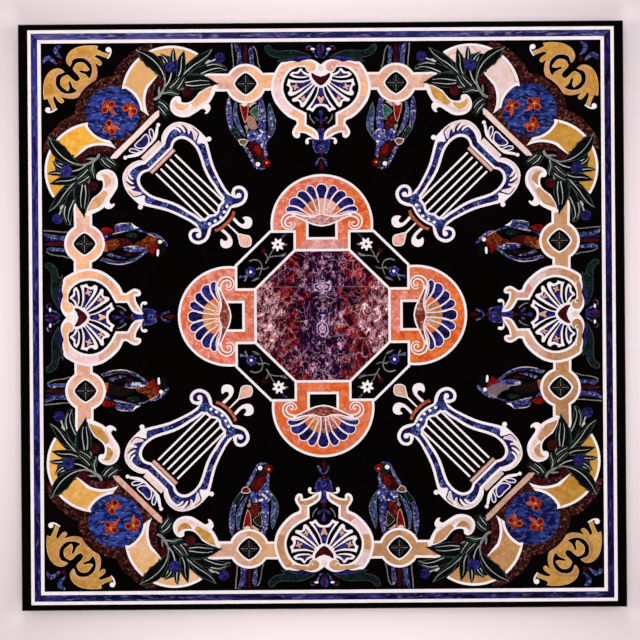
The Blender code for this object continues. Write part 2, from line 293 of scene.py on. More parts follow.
def wings(half):
    """A half outline closed with its mirror image across the corner's diagonal."""
    half = marks(half)
    other = half[::-1] * (1, -1)
    return np.vstack([half, other[other[:, 1] < -0.01]])


def draw(*motifs):
    """Runs the drawing of one motif after another, and says how many outlines there are by then."""
    for one in motifs:
        one()
        print(f"{one.__name__}: {len(REGIONS)} outlines so far")


print("stretch across:", round(K, 4))

# %% [markdown]
# ## Border
# Round the field run a white fillet, a broad band of blue stone and a second white fillet, mitred at the
# corners. A band this long is never one stone, so the blue is laid in lengths of about a hand and a half.
# Only the upper right quarter is drawn, because the other three are its mirror images.

# %% Border
FIELD = (504.0, 493.5)  # mm from the middle to the edge of the drawn field
INNER, BLUE, OUTER = 6.3, 11.7, 6.0
OVER, SHORTEST = 40, 30  # mm drawn beyond the axis, and the shortest length at a corner
BANDS = (
    ("outer_fillet", "white_marble", INNER + BLUE, INNER + BLUE + OUTER, (98, 300, 449)),
    ("lapis_border", "border_lapis", INNER, INNER + BLUE, (72, 214, 352)),
    ("inner_fillet", "white_marble", 0, INNER, (141, 268, 415)),
)


def frame_strip(near, far, cuts):
    """The two arms of one band, from near to far outside the field, cut across at the given places and
    mitred on the corner."""
    strips = []
    for swap in (False, True):
        own, other = (FIELD[1], FIELD[0]) if not swap else FIELD
        stops = [-OVER] + [c for c in cuts if c < other - SHORTEST]
        for start, stop in zip(stops, stops[1:] + [None]):
            right = (other + far, other + near) if stop is None else (stop, stop)
            strip = np.array([(start, own + near), (right[1], own + near), (right[0], own + far),
                (start, own + far)])
            strips.append((swap, strip[:, ::-1] if swap else strip))
    return strips


def border():
    """The three bands, from the outside in, and the black ground."""
    for piece, stone, near, far, cuts in BANDS:
        for upright, strip in frame_strip(near, far, cuts):
            lay(piece, "border_upright" if upright and stone == "border_lapis" else stone, CENTRE, raw(strip))
    lay("ground", "ground", CENTRE, raw([(-OVER, -OVER), (FIELD[0], -OVER), FIELD, (-OVER, FIELD[1])]))


draw(border)

# %% [markdown]
# ## Birds
# Eight birds sit head inward beside the medallions. Each is a small mosaic of its own: long wing feathers
# with black between them, a flecked mantle, a red breast, and a round white eye. The pair at the top and
# bottom has a green heart on its back, and the pair at the sides is browner. They are drawn here in broad,
# simple shapes.

# %% Green-backed bird
def bird_part(places, stone, *runs, edge=None, edge_width=1.2):
    """One stone of a bird, with an edge of another stone where one is named."""
    shape = outlined(raw, *runs)
    if edge:
        lay("bird", edge, places, shape)
        shape = inset(shape, edge_width)
    lay("bird", stone, places, shape)


def green_backed_bird():
    """The bird of the upright pairs, wing first and head last."""
    def part(stone, *runs, **more):
        """One stone of this bird."""
        bird_part(UPRIGHT, stone, *runs, **more)
    # left wing
    part("wing_teal", "93,385 88,374 84,361 81,349 82.5,337 88,325", "98,314 101,322",
        "95,331 94.5,345 96,360 96,374", edge="feather_grey")
    part("bird_mottled", "91,372 87.5,358 86,346 89,336", "93.5,332 92.5,346 94.5,360")
    part("feather_lilac", "106,396 103,384 100.5,372 99.5,356 99.5,348",
        "112.5,348 111,362 112,376 113.5,392")
    part("violet_lapis", "99.5,348 99.5,341 103.5,334", "112,337 113.4,342 112.5,348")
    # back
    part("heart_green", "113.5,380.5 120,376.5 128,368 123.5,362 118.5,358",
        "115.5,352 112.4,362 111.8,372", edge="pale_marble", edge_width=0.5)
    part("back_rust", "119,357 124,360 130,361.5", "133.8,352 131.5,342 127.5,336.5", "119,336 113.4,340",
        "117.5,349")
    part("red_bright", "130.5,382 138,384 146.4,382", "144.5,370 141,357 137.5,347", "133.3,354 131,367",
        edge="rose_marble")
    part("pale_marble", "133,380 138,377.5 143.5,380", "143,383 133,383")
    part("rose_marble", "115.5,384.5 122,381 128.5,375.5", "129,381 122,386")
    part("stem_stone", "131,341 136,345 138,341 135,335 135.5,329", "133,330")
    # right wing
    part("bird_mottled", "151,386 151.5,372 149,358 144.5,343 137,327",
        "136.5,322 144,330 151,340 157,354 158.2,370 156,384", edge="feather_grey")
    part("feather_lilac", "165,397 161.8,382 160.5,366 159.5,350 157.5,338",
        "163,334 167.5,346 170.5,360 171,376 168.8,390", edge="feather_grey", edge_width=0.8)
    part("violet_lapis", "160.5,345 164.5,344 167.6,354 168,366 162.5,362")
    part("green_deep", "143,319 150.5,316", "158,326 163,334 157,341 152.5,337 147.5,328",
        edge="feather_grey", edge_width=0.9)
    # mantle, shoulder and breast
    part("bird_flecked", "95.5,327 100,334 108,337.5 117,334 127,336.5 132.5,331", "133.5,321 128,314",
        "119,316 112.5,309.5 104.5,300", "100,303 98.6,312 91.5,322")
    part("shoulder_rust", "130.5,316 139,319.5 150,317.5", "146,309 138,306", "134,311", edge="pale_marble",
        edge_width=1.5)
    part("feather_lilac", "99,313 103,301 103.5,291 101,283", "97,288 98.6,300")
    part("red_jasper", "119,315.5 128,312 132.5,305.5", "129,296 121,288 112,285 104.5,281.5",
        "102.6,288 105.4,298 111.5,308")
    part("red_bright", "112,305 118,308 121,301 116,292 109,290 108,297")
    part("feather_lilac", "141,305.5 133,291 126,278 120,266.5", "115,268.5 121,281 127,293 134,306")
    # head
    part("teal_stone", "104,280 108,284 114,284.5 120,281 119,272 114,266.5 104,267")
    part("red_bright", "90.5,275 95,281 101,284 105,279", "106,272 101,267.5 94,269.5")
    part("bird_blue", "100,266.5 108,263.4 117,265", "119,268.5 110,267")
    lay("bird", "white_marble", UPRIGHT, circle(raw("114.4,273.4")[0], 4.1, 14))
    lay("bird", "rose_marble", UPRIGHT, circle(raw("98.6,276")[0], 2, 8))


draw(green_backed_bird)

# %% [markdown]
# ## Brown-backed bird
# The other bird has an amber back and breast and a dark cap. Its feathers are parted by black slits with a
# thin pale edge, which are laid last because they cross several stones.

# %% Brown-backed bird
def brown_backed_bird():
    """The bird that lies on its side, with slits between its feathers."""
    def part(stone, *runs, **more):
        """One stone of this bird."""
        bird_part(SIDEWAYS, stone, *runs, **more)
    # left wing
    part("bird_blue", "104,392 100.5,378 96,360 97,345 103,330 111,318", "122,306 125,309",
        "116,319 109,331 103.5,346 103,362 107.5,380 109,388", edge="feather_grey", edge_width=1.0)
    part("violet_lapis", "99,366 98.6,350 103,350 103,364")
    part("feather_lilac", "115,380 110,370 108,357 108,345", "111,352 114,364 119,373")
    part("dark_leaf", "118,366 113,352 112,338 116,324", "120,334 119,350")
    part("red_jasper", "113,348 118,345 118,338 113,337")
    part("bird_flecked", "123,350 129,346 131.5,333 131,320 126,309", "121,317 119.5,332 121,343")
    # back
    part("back_amber", "119.5,379 128,383 138,383 142,375 144.5,361", "134,356 126,363")
    part("back_red", "126,363 134,356 144.5,361", "145,348 141,337 134,331", "129.5,344 127,353")
    part("rust_marble", "120,384 128,386 138,386 140,382", "128,379 121,378")
    # right wing
    part("violet_lapis", "142,385 148,376 153,371 150,384")
    part("red_bright", "151,385 157,390 163.5,389", "165.5,380 160.5,365", "155.5,372")
    part("wing_patch", "151,370 158,364 167,366 172,358", "173.5,345 173.5,336 168,330 163,322",
        "160,333 157,345 153.5,357", edge="feather_grey", edge_width=1.0)
    part("violet_lapis", "155,356 161,361 164,351 160,341")
    part("white_marble", "163.6,322 168,330 173.6,336.5", "168,334 163,331")
    part("green_deep", "147,345 153,345 156,334 151,324 146,328")
    part("bird_blue", "161.5,324 157.5,312 153.5,306", "155.5,316 159,328")
    # breast and head
    part("breast_amber", "132,331 138,326 141,317 149,308 153.5,305", "152,297 145,290 136,289",
        "130,298 126,310")
    part("red_bright", "126,310 130,298 136,289", "130,289 121,295 113,298", "118,304")
    part("dark_leaf", "111,285 113,278 121,274.5 131,276 136,281 134,288 124,291")
    part("white_marble", "111.5,291 117,292 124,291", "124,287.6 117,287.4 111.5,288.4")
    part("feather_lilac", "155.5,304 151.5,290 143,279 133,271", "129,273.5 138,281.5 146,291 151.5,303")
    lay("bird", "white_marble", SIDEWAYS, circle(raw("138,285.6")[0], 3.6, 12))
    # slits between the feathers, and their pale edges
    for line, widths in (("106,386 101.6,368 101.2,352 105.4,336 114,320", (0.8, 1.7, 0.8)),
            ("160,366 165.5,357 167.5,345 164.5,333", (0.8, 1.7, 0.8)),
            ("146,380 150,374 152.5,368", (0.8, 1.6, 0.8)),
            ("112,372 109.6,362 109.4,352", (0.6, 1.5, 0.6))):
        lay("bird", "ground", SIDEWAYS, stroke(raw(line), widths))
    for line, widths in (("100,380 97.4,364 97.6,350 101.6,336", (0.6, 1.7, 0.6)),
            ("169.5,364 172,354 172.4,343", (0.6, 1.6, 0.6)),
            ("153.6,369 155.6,357 158.6,346", (0.6, 1.4, 0.6)),
            ("128,350 130.4,338 130.4,324", (0.5, 1.2, 0.5)),
            ("145,292 150,300 153.6,308", (0.6, 1.4, 0.6))):
        lay("bird", "pale_marble", SIDEWAYS, stroke(raw(line), widths))


draw(brown_backed_bird)

# %% [markdown]
# ## Centre
# An octagon of violet breccia fills the middle, with four small corner panels beside it. White fillets
# frame them all. The octagon is one sawn sheet, and its pattern comes with its marble.

# %% Centre
FILLET = 4.5  # mm across the white fillets


def octagon(half, corner):
    """Eight corners: half is the way out to a flat side, corner half that side's length."""
    quarter = [(half, corner), (corner, half)]
    return np.array(quarter + [(-x, y) for x, y in quarter[::-1]] + [(-x, -y) for x, y in quarter]
        + [(x, -y) for x, y in quarter[::-1]], float)


def centre():
    """A fillet round the octagon and one round the corner panel, each half outside its line."""
    eight = octagon(118.2, 48)
    panel = "118.2,48 152,48 152,91.2 91.2,152 48,152 48,118.2"
    lay("centre_fillet", "white_marble", CENTRE, inset(eight, -FILLET / 2))
    lay("centre_fillet", "white_marble", CENTRE, inset(panel, -FILLET / 2))
    lay("ground", "ground", CENTRE, inset(panel, FILLET / 2))
    lay("centre_octagon", "breccia", CENTRE, inset(eight, FILLET / 2))


draw(centre)

# %% [markdown]
# ## Flower panel
# Each corner panel holds a loose spray of little flowers on the bare ground. The stems are as thin as stone
# can be sawn, so they are drawn as bands that swell a little.

# %% Flower panel
TILT = 0.3  # how far a flower is turned, so that its petals don't line up with the panel


def star(middle, radius, points, depth=0.22):
    """A flower of pointed petals: the radius swings between its own value and one less by twice the depth."""
    a = np.linspace(0, 2 * pi, points * 6, endpoint=False)
    r = radius * (1 - depth + depth * np.cos(points * a))
    return np.asarray(middle) + r[:, None] * ways(a + TILT)


def flower_panel():
    """Stems first, then leaves, then the flowers over their ends."""
    put = motif("flower_panel", CENTRE)
    for path, width in (("86,121 91,115 95,107 99,100 102,95", (1.5, 2)),
            ("80,108 88,107.5 96,105", (2, 1.6)), ("98,103 100,109 103,113", 1.6),
            ("96,88 104,84.5 110,86 116,87", (1.2, 2)), ("108,90 110,81 113,73", (2, 1.4)),
            ("108,89 112,98 121,101.6 131,99", (1.8, 2.6)), ("110,86 116,85 119,83", 1.6),
            ("133,75 140,71.5 149,71", (2, 3.4)), ("134,74 137,69 140,63", (1.4, 2.6)),
            ("63,129 70,127", 2.6),):
        put("stem_stone", raw(stroke(path, width)))
    put("leaf_stone", raw(leaf("63,114 70,109 81,108", 7)))
    put("stem_stone", raw(leaf("64,113.5 70,110 80,108.5", 2.6)))
    put("leaf_stone", raw(leaf("112,70 120,67 129,62", 7)))
    put("stem_stone", raw(leaf("113,69.5 120,66 128,62.3", 2.6)))
    put("mauve_stone", raw(leaf("63,149 69,144 77,135", 4)))
    put("mauve_pale", raw(leaf("66,109.6 73,108 81,107.6", 2.6)))
    put("violet_lapis", raw(leaf("139,71.5 145,70 150,67", 4)))
    put("berry_red", raw(star((105, 117), 5.4, 4, 0.1)))
    put("violet_lapis", raw(star((129, 79.5), 10, 6, 0.08)))
    put("berry_lapis", raw(circle((129, 79.5), 6)))
    put("white_marble", raw(circle((129, 79.5), 2.8)))
    put("white_marble", raw(star((79.5, 128.5), 12.4, 7, 0.21)))
    put("red_jasper", raw(circle((79.5, 128.5), 2.5)))


draw(flower_panel)

# %% [markdown]
# ## Lobes and shells
# On each side of the octagon stands a round lobe of orange marble on a square foot. It is pieced from four
# slabs whose veins run differently. A shell of blue petals with warm hearts opens in it, between two curls.

# %% Lobes
def lobes():
    """The frame of four slabs, the opening at its foot, the curls, and the shell of nine petals."""
    rim = motif("lobe_frame", SIDE)
    shell = motif("lobe_shell", SIDE)
    ring = arc((0, 164.5), 90.5, -7.9, 90)
    white = np.vstack([marks("0,115.95 50.25,115.95 50.25,149.75 91,149.75"), ring])
    rim("white_marble", both(white))
    ring = arc((0, 164.5), 86, -6.8, 90)
    fill = np.vstack([marks("0,120.45 45.75,120.45 45.75,154.25 84.5,154.25"), ring])
    ray = 160 * np.array([sin(radians(38)), cos(radians(38))])
    rim("lobe_side", both(fill))
    rim("lobe_top", both(fill), within=both([(0, 164.5), (0, 164.5) + ray, (0, 330)]))
    rim("lobe_post", both(fill), within="47,119 28,137 26,166 32,171 45.75,154.25")
    rim("lobe_bar", both(fill), within=both("0,119 47.2,119 28,138.2 0,138.2"))
    rim("white_marble", both("0,137 28,137 28,171 0,166"))
    lay("ground", "ground", SIDE, both("0,141.5 23.5,141.5 23.5,169 0,163"))
    inner_line = ("28,170.6 36,174.8 44,178 51,179.2 58,178 63.2,174 65.2,168.4 63.2,163 58.4,160.6 "
        "53.8,162.4 52.4,166 54.4,168.6 57.6,167.4")
    outer_line = ("38,182.4 45,184.4 52,185.2 59.5,184.4 66,180.6 70.2,174.4 71,167 67.6,160 61,156.2 "
        "53.6,156.6 48.6,160.8 47.4,166 49.6,170")
    between = ("34,177 44,181 52,182.4 59,181.4 64.8,177.4 67.8,171 67,164.4 62.8,159.4 56.4,158.4 "
        "51.2,161.6 50,166.4")
    rim("volute_marble", stroke(between, 5.2))
    rim("white_marble", stroke(inner_line, (1.4, 2.7, 2.7, 2.3, 2.3), round_ends=True))
    rim("white_marble", stroke(outer_line, (2.2, 2.7, 2.7, 2.3, 1.8)))
    lens = outline("0,160.4 12,162.4 21,165.7 31,170.3 41,175.2 50,178.8",
        "54,182.6 48,184.6 41,183.2 31,181 21,179.8 14,180.6 7,183 0,184.4")
    shell("white_marble", both(lens))
    lens = outline("0,163 11,165 20,168.2 30,172.9 40,177.5 47,180.6",
        "47,181.8 40,180.6 31,178.4 21,177.2 14,178 7,180.4 0,181.8")
    shell("lens_marble", both(lens))
    petals = (
        ("14,178.5 26,184.5 35,191 45,196.4 55,198.6 61,197 64.3,191.5 61.5,185.8",
         "50,187.2 40,185.6 30,181.8 14,178.5"),
        ("12,180 19,189 26.5,200 36,209.5 44.5,214 52,213.2 57.8,207 57.8,198.3",
         "45,196.2 34.5,190.5 25,184 12,180"),
        ("7.5,182 11.2,195 15.5,207.5 21.5,217 28,224 35,226 42,223 45.3,214.5",
         "36,209 26.3,199.8 19,189.5 7.5,182"),
        ("3.6,182 4.6,200 7.2,215 11,227.5 14.8,233 20.5,235.4 26.5,232.5 29.3,225",
         "22,217 15.5,207.5 11.2,195 3.6,182"),
    )
    for i, runs in enumerate(petals):
        shape = outline(*runs)
        shell("white_marble", shape)
        shell(("lapis", "lapis", "lapis_dark", "lapis")[i], inset(shape, 1.7))
        shell(("rust_marble", "orange_marble", "shell_core", "shell_core")[i], inset(shape, 1.1),
            within=circle((0, 180), (34, 34, 33, 32)[i]))
    top = both(outline("0,182 3.6,182 4.6,200 7.2,215 10.8,226.5 9.2,234 4.5,237.8 0,238.4"))
    shell("white_marble", top)
    shell("lapis_dark", inset(top, 1.9))
    shell("shell_core", inset(top, 1.2), within=circle((0, 180), 31.5))


draw(lobes)

# %% [markdown]
# ## Lyre
# A white lyre stands on each diagonal, with its foot toward the middle. Its arms are filled with lengths of
# lighter and darker blue, because no blue stone is long enough for a whole arm.

# %% Lyre
def lyre():
    """The white body with its black opening, then the blue of its arms, its cap, bars, strings and pegs."""
    single = motif("lyre", AXIS)
    pair = motif("lyre", WINGS)
    scroll = ("248.8,27.6 243.2,36 240.3,47 243.5,58.5 251,65.5 262,67 270.5,62 273.5,54 271,47 267,41.5")
    arm = "267,41.5 284,43.5 296,47 310,51.5 325,57.5 338,64.5 352,73 363,79.5"
    cap = ("370,84.5 374,84.2 385,84.8 396,84.5 407,82 418,76.6 426.5,69.5 431.5,60.5 433.3,48 431,36 "
        "426,27 420,22")
    foot = "244.5,0 246,11.5 250.5,25.5"
    inner = ("275,26.5 288,28 300,31 313,33.5 328,38 341,44 355,51.5 368,57 381,58.8 393,57 400.5,52.5 "
        "404.5,46 404.8,38 401,30")
    yoke = "264.5,0 265,5 268.5,9 270.2,13 270.5,18 272,23 275,26.5"
    whole = outline(foot, scroll, arm, cap, "420,0")
    single("white_marble", wings(whole))
    opening = outline(yoke, inner, "400.3,29 400.3,0")
    single("ground", wings(opening))
    # curl
    pair("lapis_dark", outline("252,33 249,38 246,47 248.6,55.5 254,60.6 261,61.6 266.3,58.5 268.2,53.5 "
        "265.6,49.5 261,45 262,38"))
    pair("white_marble", stroke("270,47.5 264.5,44.5 259.5,44.5 256.5,47.5", 4.6))
    pair("white_marble", circle((257, 50.5), 4.8))
    # blue of the yoke
    blue_yoke = outline("248.8,0 250.3,11 254,24 252,33", "262,40.5 272,38",
        "272,29 266.5,24 266,15.5 263.6,9.5 260.6,5 259.8,0")
    single("lapis_flecked", wings(blue_yoke))
    # blue of the arm
    blue_arm = outline("268,37 284,39 297,42.6 311,47 326.5,53 340,60 354,68.5 364,74", "372,73",
        "380,63.8 368,62 353,56 339,48.5 326,42.6 312,38.3 299,35.8 287,33 273,31 268,31")
    pair("lapis_flecked", blue_arm)
    for start, stop, name in ((281, 296, "lapis"), (296, 314, "lapis_flecked"), (314, 330, "lapis_dark"),
            (330, 347, "lapis_flecked"), (347, 361, "lapis")):
        pair(name, blue_arm, within=[(start, 20), (stop, 20), (stop - 6, 90), (start - 6, 90)])
    # blue under the cap and the bar
    blue_cap = outline("364,70 372,75 381,74 393,74.5 402,73.5 412,69 419.5,62 423,53 422.5,42 418,31 "
        "414,25 413.6,22", "413.6,0", "404.5,0 404.5,27",
        "409.5,37 409.5,47 404.5,56 395.5,61.6 381,63.8 370,62.5")
    single("lapis_flecked", wings(outline("404.5,0 404.5,27 413.6,27 413.6,0")))
    pair("lapis_flecked", blue_cap)
    pair("lapis", blue_cap, within="384,50 400,50 406,90 386,90")
    pair("lapis_dark", blue_cap, within="400,24 440,24 440,38 400,44")
    # cap's leaf
    leaf_low = outline("363,79.5 370,84.5 374,84.2 385,84.8 392,84.6", "385,80 380,72 376.5,66.5",
        "373,67 371,70.5 366,74")
    pair("white_marble", leaf_low)
    leaf_mid = outline("390,84.6 398,84 407,82 411,80", "402,77 394,73 385,67.4",
        "382,66.5 381,68.5 385,76")
    pair("white_marble", leaf_mid)
    pair("cream_marble", inset(leaf_mid, 1.6))
    leaf_top = outline("411,80.5 418,76.6 426.5,69.5 431.5,60.5 433.3,48 431,36 426,27 418.8,22",
        "418.8,24 424,33 426.5,43 425,54 420,62.5 412,67.8 404,68.6", "399,66.5 397.5,69.5 401,74 407,78")
    pair("white_marble", leaf_top)
    pair("cream_marble", inset(leaf_top, 2.2))
    for finger in ("420,66 413,66.8 405.5,65.4", "424,57 418,60 411.5,59.6"):
        pair("white_marble", stroke(finger, (4, 4.4, 3), round_ends=True))
    for notch, widths in (("382.5,74 385.3,79.3 390,81 397.5,80.5 401,79.8", (2.6, 1.5, 1.0)),
            ("400,64.5 405.2,69.2 412.2,70.6 418,70.6", (4.2, 3.4, 1.2)),
            ("407.5,62.3 411.4,63 417.7,62.8 423,60.2", (2.8, 2.2, 1.0))):
        pair("lapis_dark", stroke(notch, widths))
    pair("white_marble", circle((366, 86), 4.5))
    # bars
    single("white_marble", wings("400.3,0 400.3,30 404.6,30 404.6,0"))
    single("cream_marble", wings("418.8,0 418.8,22.5 427.8,22 427.8,0"))
    single("tail_marble", wings("392.8,0 392.8,29.3 398.8,29.3 398.8,0"))
    single("pale_marble", wings("395.3,0 395.3,27 396.6,27 396.6,0"))
    # strings
    for across, start in ((0, 263), (12, 268), (24, 271)):
        string = single if across == 0 else pair
        string("white_marble", stroke([(start, across), (387.5, across)], 3.6, round_ends=True))
    for place, peg in (((251.9, 0), single), ((254.5, 11.4), pair), ((258, 22), pair)):
        peg("white_marble", circle(place, 3))
    single("rust_marble", wings(outline("233.5,0 235,10.5 237,18.5 240,25", "245.5,23",
        "242,17 240.4,9.5 239.6,0")))


draw(lyre)

# %% [markdown]
# ## Foot and palmette of the lyre
# Below the lyre two hooks hold a pink drop, and above its cap a small palmette of three petals closes the
# motif. Both are symmetrical about the diagonal.

# %% Lyre's foot and palmette
def lyre_foot():
    """Two hooks, the bar between them and the drop at their end."""
    single = motif("lyre_foot", AXIS)
    pair = motif("lyre_foot", WINGS)
    hook = outline("233.9,11.5 219,11.4 211,13.5 205.2,17.5 202.5,24 205,31.5 211,36 217,35.5 222.8,31 "
        "224.5,26.5", "221,26 218.6,26 215,22.6 216.4,18.4 221.3,16.5 235.5,17")
    pair("white_marble", hook)
    single("white_marble", stroke("234,0 209,0", (2.4, 3.6)))
    drop = wings(outline("212,0 210,1.8 201,7 193,11.8 186.2,10.4 180.6,5 178.4,0"))
    single("white_marble", drop)
    single("pink_marble", inset(drop, 1.8))


def palmette():
    """A white stem round the lyre's cap, with three blue petals on it."""
    single = motif("palmette", AXIS)
    pair = motif("palmette", WINGS)
    single("white_marble", wings(outline("431.5,0 431.5,14 434,25 444.5,39.5", "448,36.5",
        "440,24 436,15 436,0")))
    pair("white_marble", circle((447.5, 41.5), 3.6))
    side = smooth("435,5 436,13 446,17 453,23.5 451,28.6 442,25.5 434,15 435,5")
    pair("white_marble", side)
    pair("lapis", inset(side, 2.0))
    petal = wings(outline("434.5,0 435,5 439,11 445,15 451,15.5 453,10 452.5,0"))
    single("white_marble", petal)
    single("lapis", inset(petal, 2.1))


draw(lyre_foot, palmette)

# %% [markdown]
# ## Tails
# The birds' tails run out to the border between the straps. Each is a few long straight feathers, blue, red
# and lilac, with black between.

# %% Tails
def sided(points):
    """Points read beside the axis of a side, on the stretched tile. The two halves of the real motif lie a
    little apart, so the points move out by two millimetres, and by less close to the axis and far from it."""
    points = marks(points)
    x = points[:, 0]
    shift = np.interp(x, [0, 12, 190, 270], [0, 2.0, 2.0, 0])
    return np.stack([x / K + shift, points[:, 1]], 1)


def tail():
    """Long feathers from the middle outward: a stem, two blue ones, and the red and dark slits between."""
    put = motif("tail", SIDE)
    put("stem_stone", sided(stroke("107,446 110.5,456 112,468 115,480 119.5,486", (1.6, 2))))
    blue = outlined(sided, "118.5,452 119,468 120,480 121.5,486.5 125.5,483.5 128,476 126,465 125.5,453")
    put("lilac_stone", blue)
    put("bird_blue", inset(blue, 1.2))
    put("red_jasper", sided("130,453.5 130,470 130.5,488 135,489 136.5,480 136.2,454"))
    light = outlined(sided, "138.5,453 141,465 142,478 146,487 151,491.5 154.5,491",
        "152,482 149,468 148.5,451")
    put("lilac_stone", light)
    put("bird_blue", inset(light, 1.8), within=sided("140,440 150,440 152,475 140,475"))
    put("stem_stone", sided(stroke("155,446 155.3,460 157,475 158,491", (1.6, 2.2))))
    put("lapis_dark", sided("137,455 138.6,455 141.2,478 143,489 139.5,489"))


draw(tail)

# %% [markdown]
# ## Side strap
# A flat strap of warm marbles edged in white winds along each side: links with a ring, a scroll at their
# end, and a band round the medallion. Every length between two joints comes from another slab, which a mask
# over the one long outline gives here.

# %% Side strap
RING = (132.4, 418.7)  # the middle of the ring in the strap


def lozenge(middle, half):
    """A square on its corner, with rounded corners: |x| and |y|, each to the power, add up to the same all round."""
    a = np.arange(40) * 2 * pi / 40
    power = 1.35
    r = half / (np.abs(np.cos(a)) ** power + np.abs(np.sin(a)) ** power) ** (1 / power)
    return np.asarray(middle) + r[:, None] * ways(a)


def strap():
    """The links with the ring, the scroll at their end, and the medallion's band with its bonnet and heart."""
    put = motif("side_strap", SIDE)
    # links and ring
    cx = RING[0]
    links = np.vstack([sided("70,438.2"), arc(RING, 35.8, 147.4, 30.7),
        sided("204,437.8 210,433 204,427 192,419 189,412 189,405"), arc(RING, 35.8, -22.5, -159.2),
        sided("70,406")])
    put("white_marble", links)
    put("link_inner", inset(links, 4.6), within=[(60, 380), (cx + 4, 380), (cx - 4, 470), (60, 470)])
    put("link_outer", inset(links, 4.6), within=[(cx + 4, 380), (220, 380), (220, 470), (cx - 4, 470)])
    put("white_marble", lozenge(RING, 22.8))
    lay("ground", "ground", SIDE, lozenge(RING, 19.4))
    # C-scroll
    scroll = outlined(sided, "189,415.5 200,413 210,408.5 218,404",
        "225,395 232,388.5 240,385.5 248,385.7 251.5,388",
        "251.5,393 254,396.2 260,397.2 266,394 270.5,387 272,379 270,371 264,364 256,360.3 247,359 "
        "237,360.3 228,365 220,370 213,374 208,373 205.5,369.5",
        "208,366 204,365.2 199,370 197,376 198.5,381 201,383", "196,389 190.5,399 187,407")
    put("white_marble", scroll)
    put("cream_marble", outlined(sided, "204,384 216,379 226,374 238,367 249,364.5 259,366.5 266,372 "
        "267.5,380 265.5,388 260,392", "262,384 257,376 248,372 238,374.5 230,381 222,388 212,388"))
    put("wedge_marble", outlined(sided, "193,413 202,410.5 211,405.5 219,399 226,390 233,383.5",
        "226,378 214,384 203,390.5 199,397"))
    put("wedge_marble", outlined(sided, "236,382.3 246,381.8 255,383.5 262,388.5",
        "263,381 257.5,374.5 249,371.3 241,375.5"))
    # medallion band
    band = outlined(sided, "52,459 60,457.5 67,457 72,453.5 77,446 81.5,438 85.5,427 88,413 86.5,400 "
        "82.5,388 75.5,377 66,366 55,357 43,351.5",
        "42,346 46.5,339.5 50,332 49,325.5 45.5,321 40.5,319.8 36.8,322 35.8,327.5 36.2,329.5",
        "29,329 21,325.5 14.5,321 8,316.8 3.5,313",
        "3.8,321 5.5,330 10.5,336.5 18,341 24.2,344.5",
        "24,365",
        "33,369.5 44,375.5 53,382.5 60.5,392 65,404 65.5,414.5 62.5,426.5 57,436 49.5,443.2 41,447",
    )
    put("white_marble", band)
    inner = outlined(sided, "61,453 66.5,452.5 71.5,446 76,437.5 80.5,426.5 83,413 81.5,401 77.5,390.5 "
        "71.5,380.5 62.5,370 52,361.5 38.5,355.5",
        "38,345 42.5,337.5 45.2,331 44,326.5 41.5,325 40.4,327 40.4,333",
        "31,333 20,330 12,325 8,321",
        "9,328.5 15,334 22,338.5 28.5,341.5",
        "28.5,361.5",
        "36,366 46.5,372 56.5,380 64.5,390.5 69.3,403 70,415 67,428.5 61.5,438.5 54.5,446",
    )
    put("band_rest", inner)
    for name, cut in (("band_top", "0,410 120,428 120,470 30,470"),
            ("band_side", "0,404 120,388 120,428 0,410"), ("band_lower", "20,300 70,352 30,385 0,372"),
            ("band_foot", "0,300 60,300 60,337 0,344")):
        put(name, inner, within=cut)
    bonnet = both(outline(sided("0,452 5.5,457 12.5,461 21,461.5 30,459.5 38.5,456.5"),
        sided("45,458.5 51,458.8 57.5,455.5"), sided("55,450 50,445 41,447.5 31,448 25.5,446.5"),
        sided("24,442 18.5,437.5"), sided("20,431"), "0,431"))
    put("white_marble", bonnet)
    put("volute_cream", outlined(sided, "62,451 56,454.6 46,457 34,457.4 24,459 14,457 9,453 7.6,448",
        "9.5,443 14.5,440.2 20.5,441.2 25,445.4 26.6,449.8 33,450.6 42,450 52,447.6"))
    put("white_marble", sided(stroke("31,449.5 27.6,450.6 25.2,447.6 22,445.4 18.6,447 18.8,450.2",
        (2.2, 2.4, 2, 1.8, 1.2))))
    put("cream_marble", both("0,452 5.2,447.4 3.4,441.5 0,439.6"))
    put("white_marble", both("0,412 6,411.5 12,414.5 18,420 20,428 22,437 0,437"))
    heart = both(outline("0,430.5 4.5,431.8 9.5,433.8 14,436.8 16.8,436.6",
        "15.8,430 12.3,424.8 8,419.4 3.6,416 0,414.4"))
    put("red_jasper", heart)


draw(strap)

# %% [markdown]
# ## Medallion's fan
# Inside the band a white fan opens toward the border. Blue stones with rose-red flowers lie in its flutes.

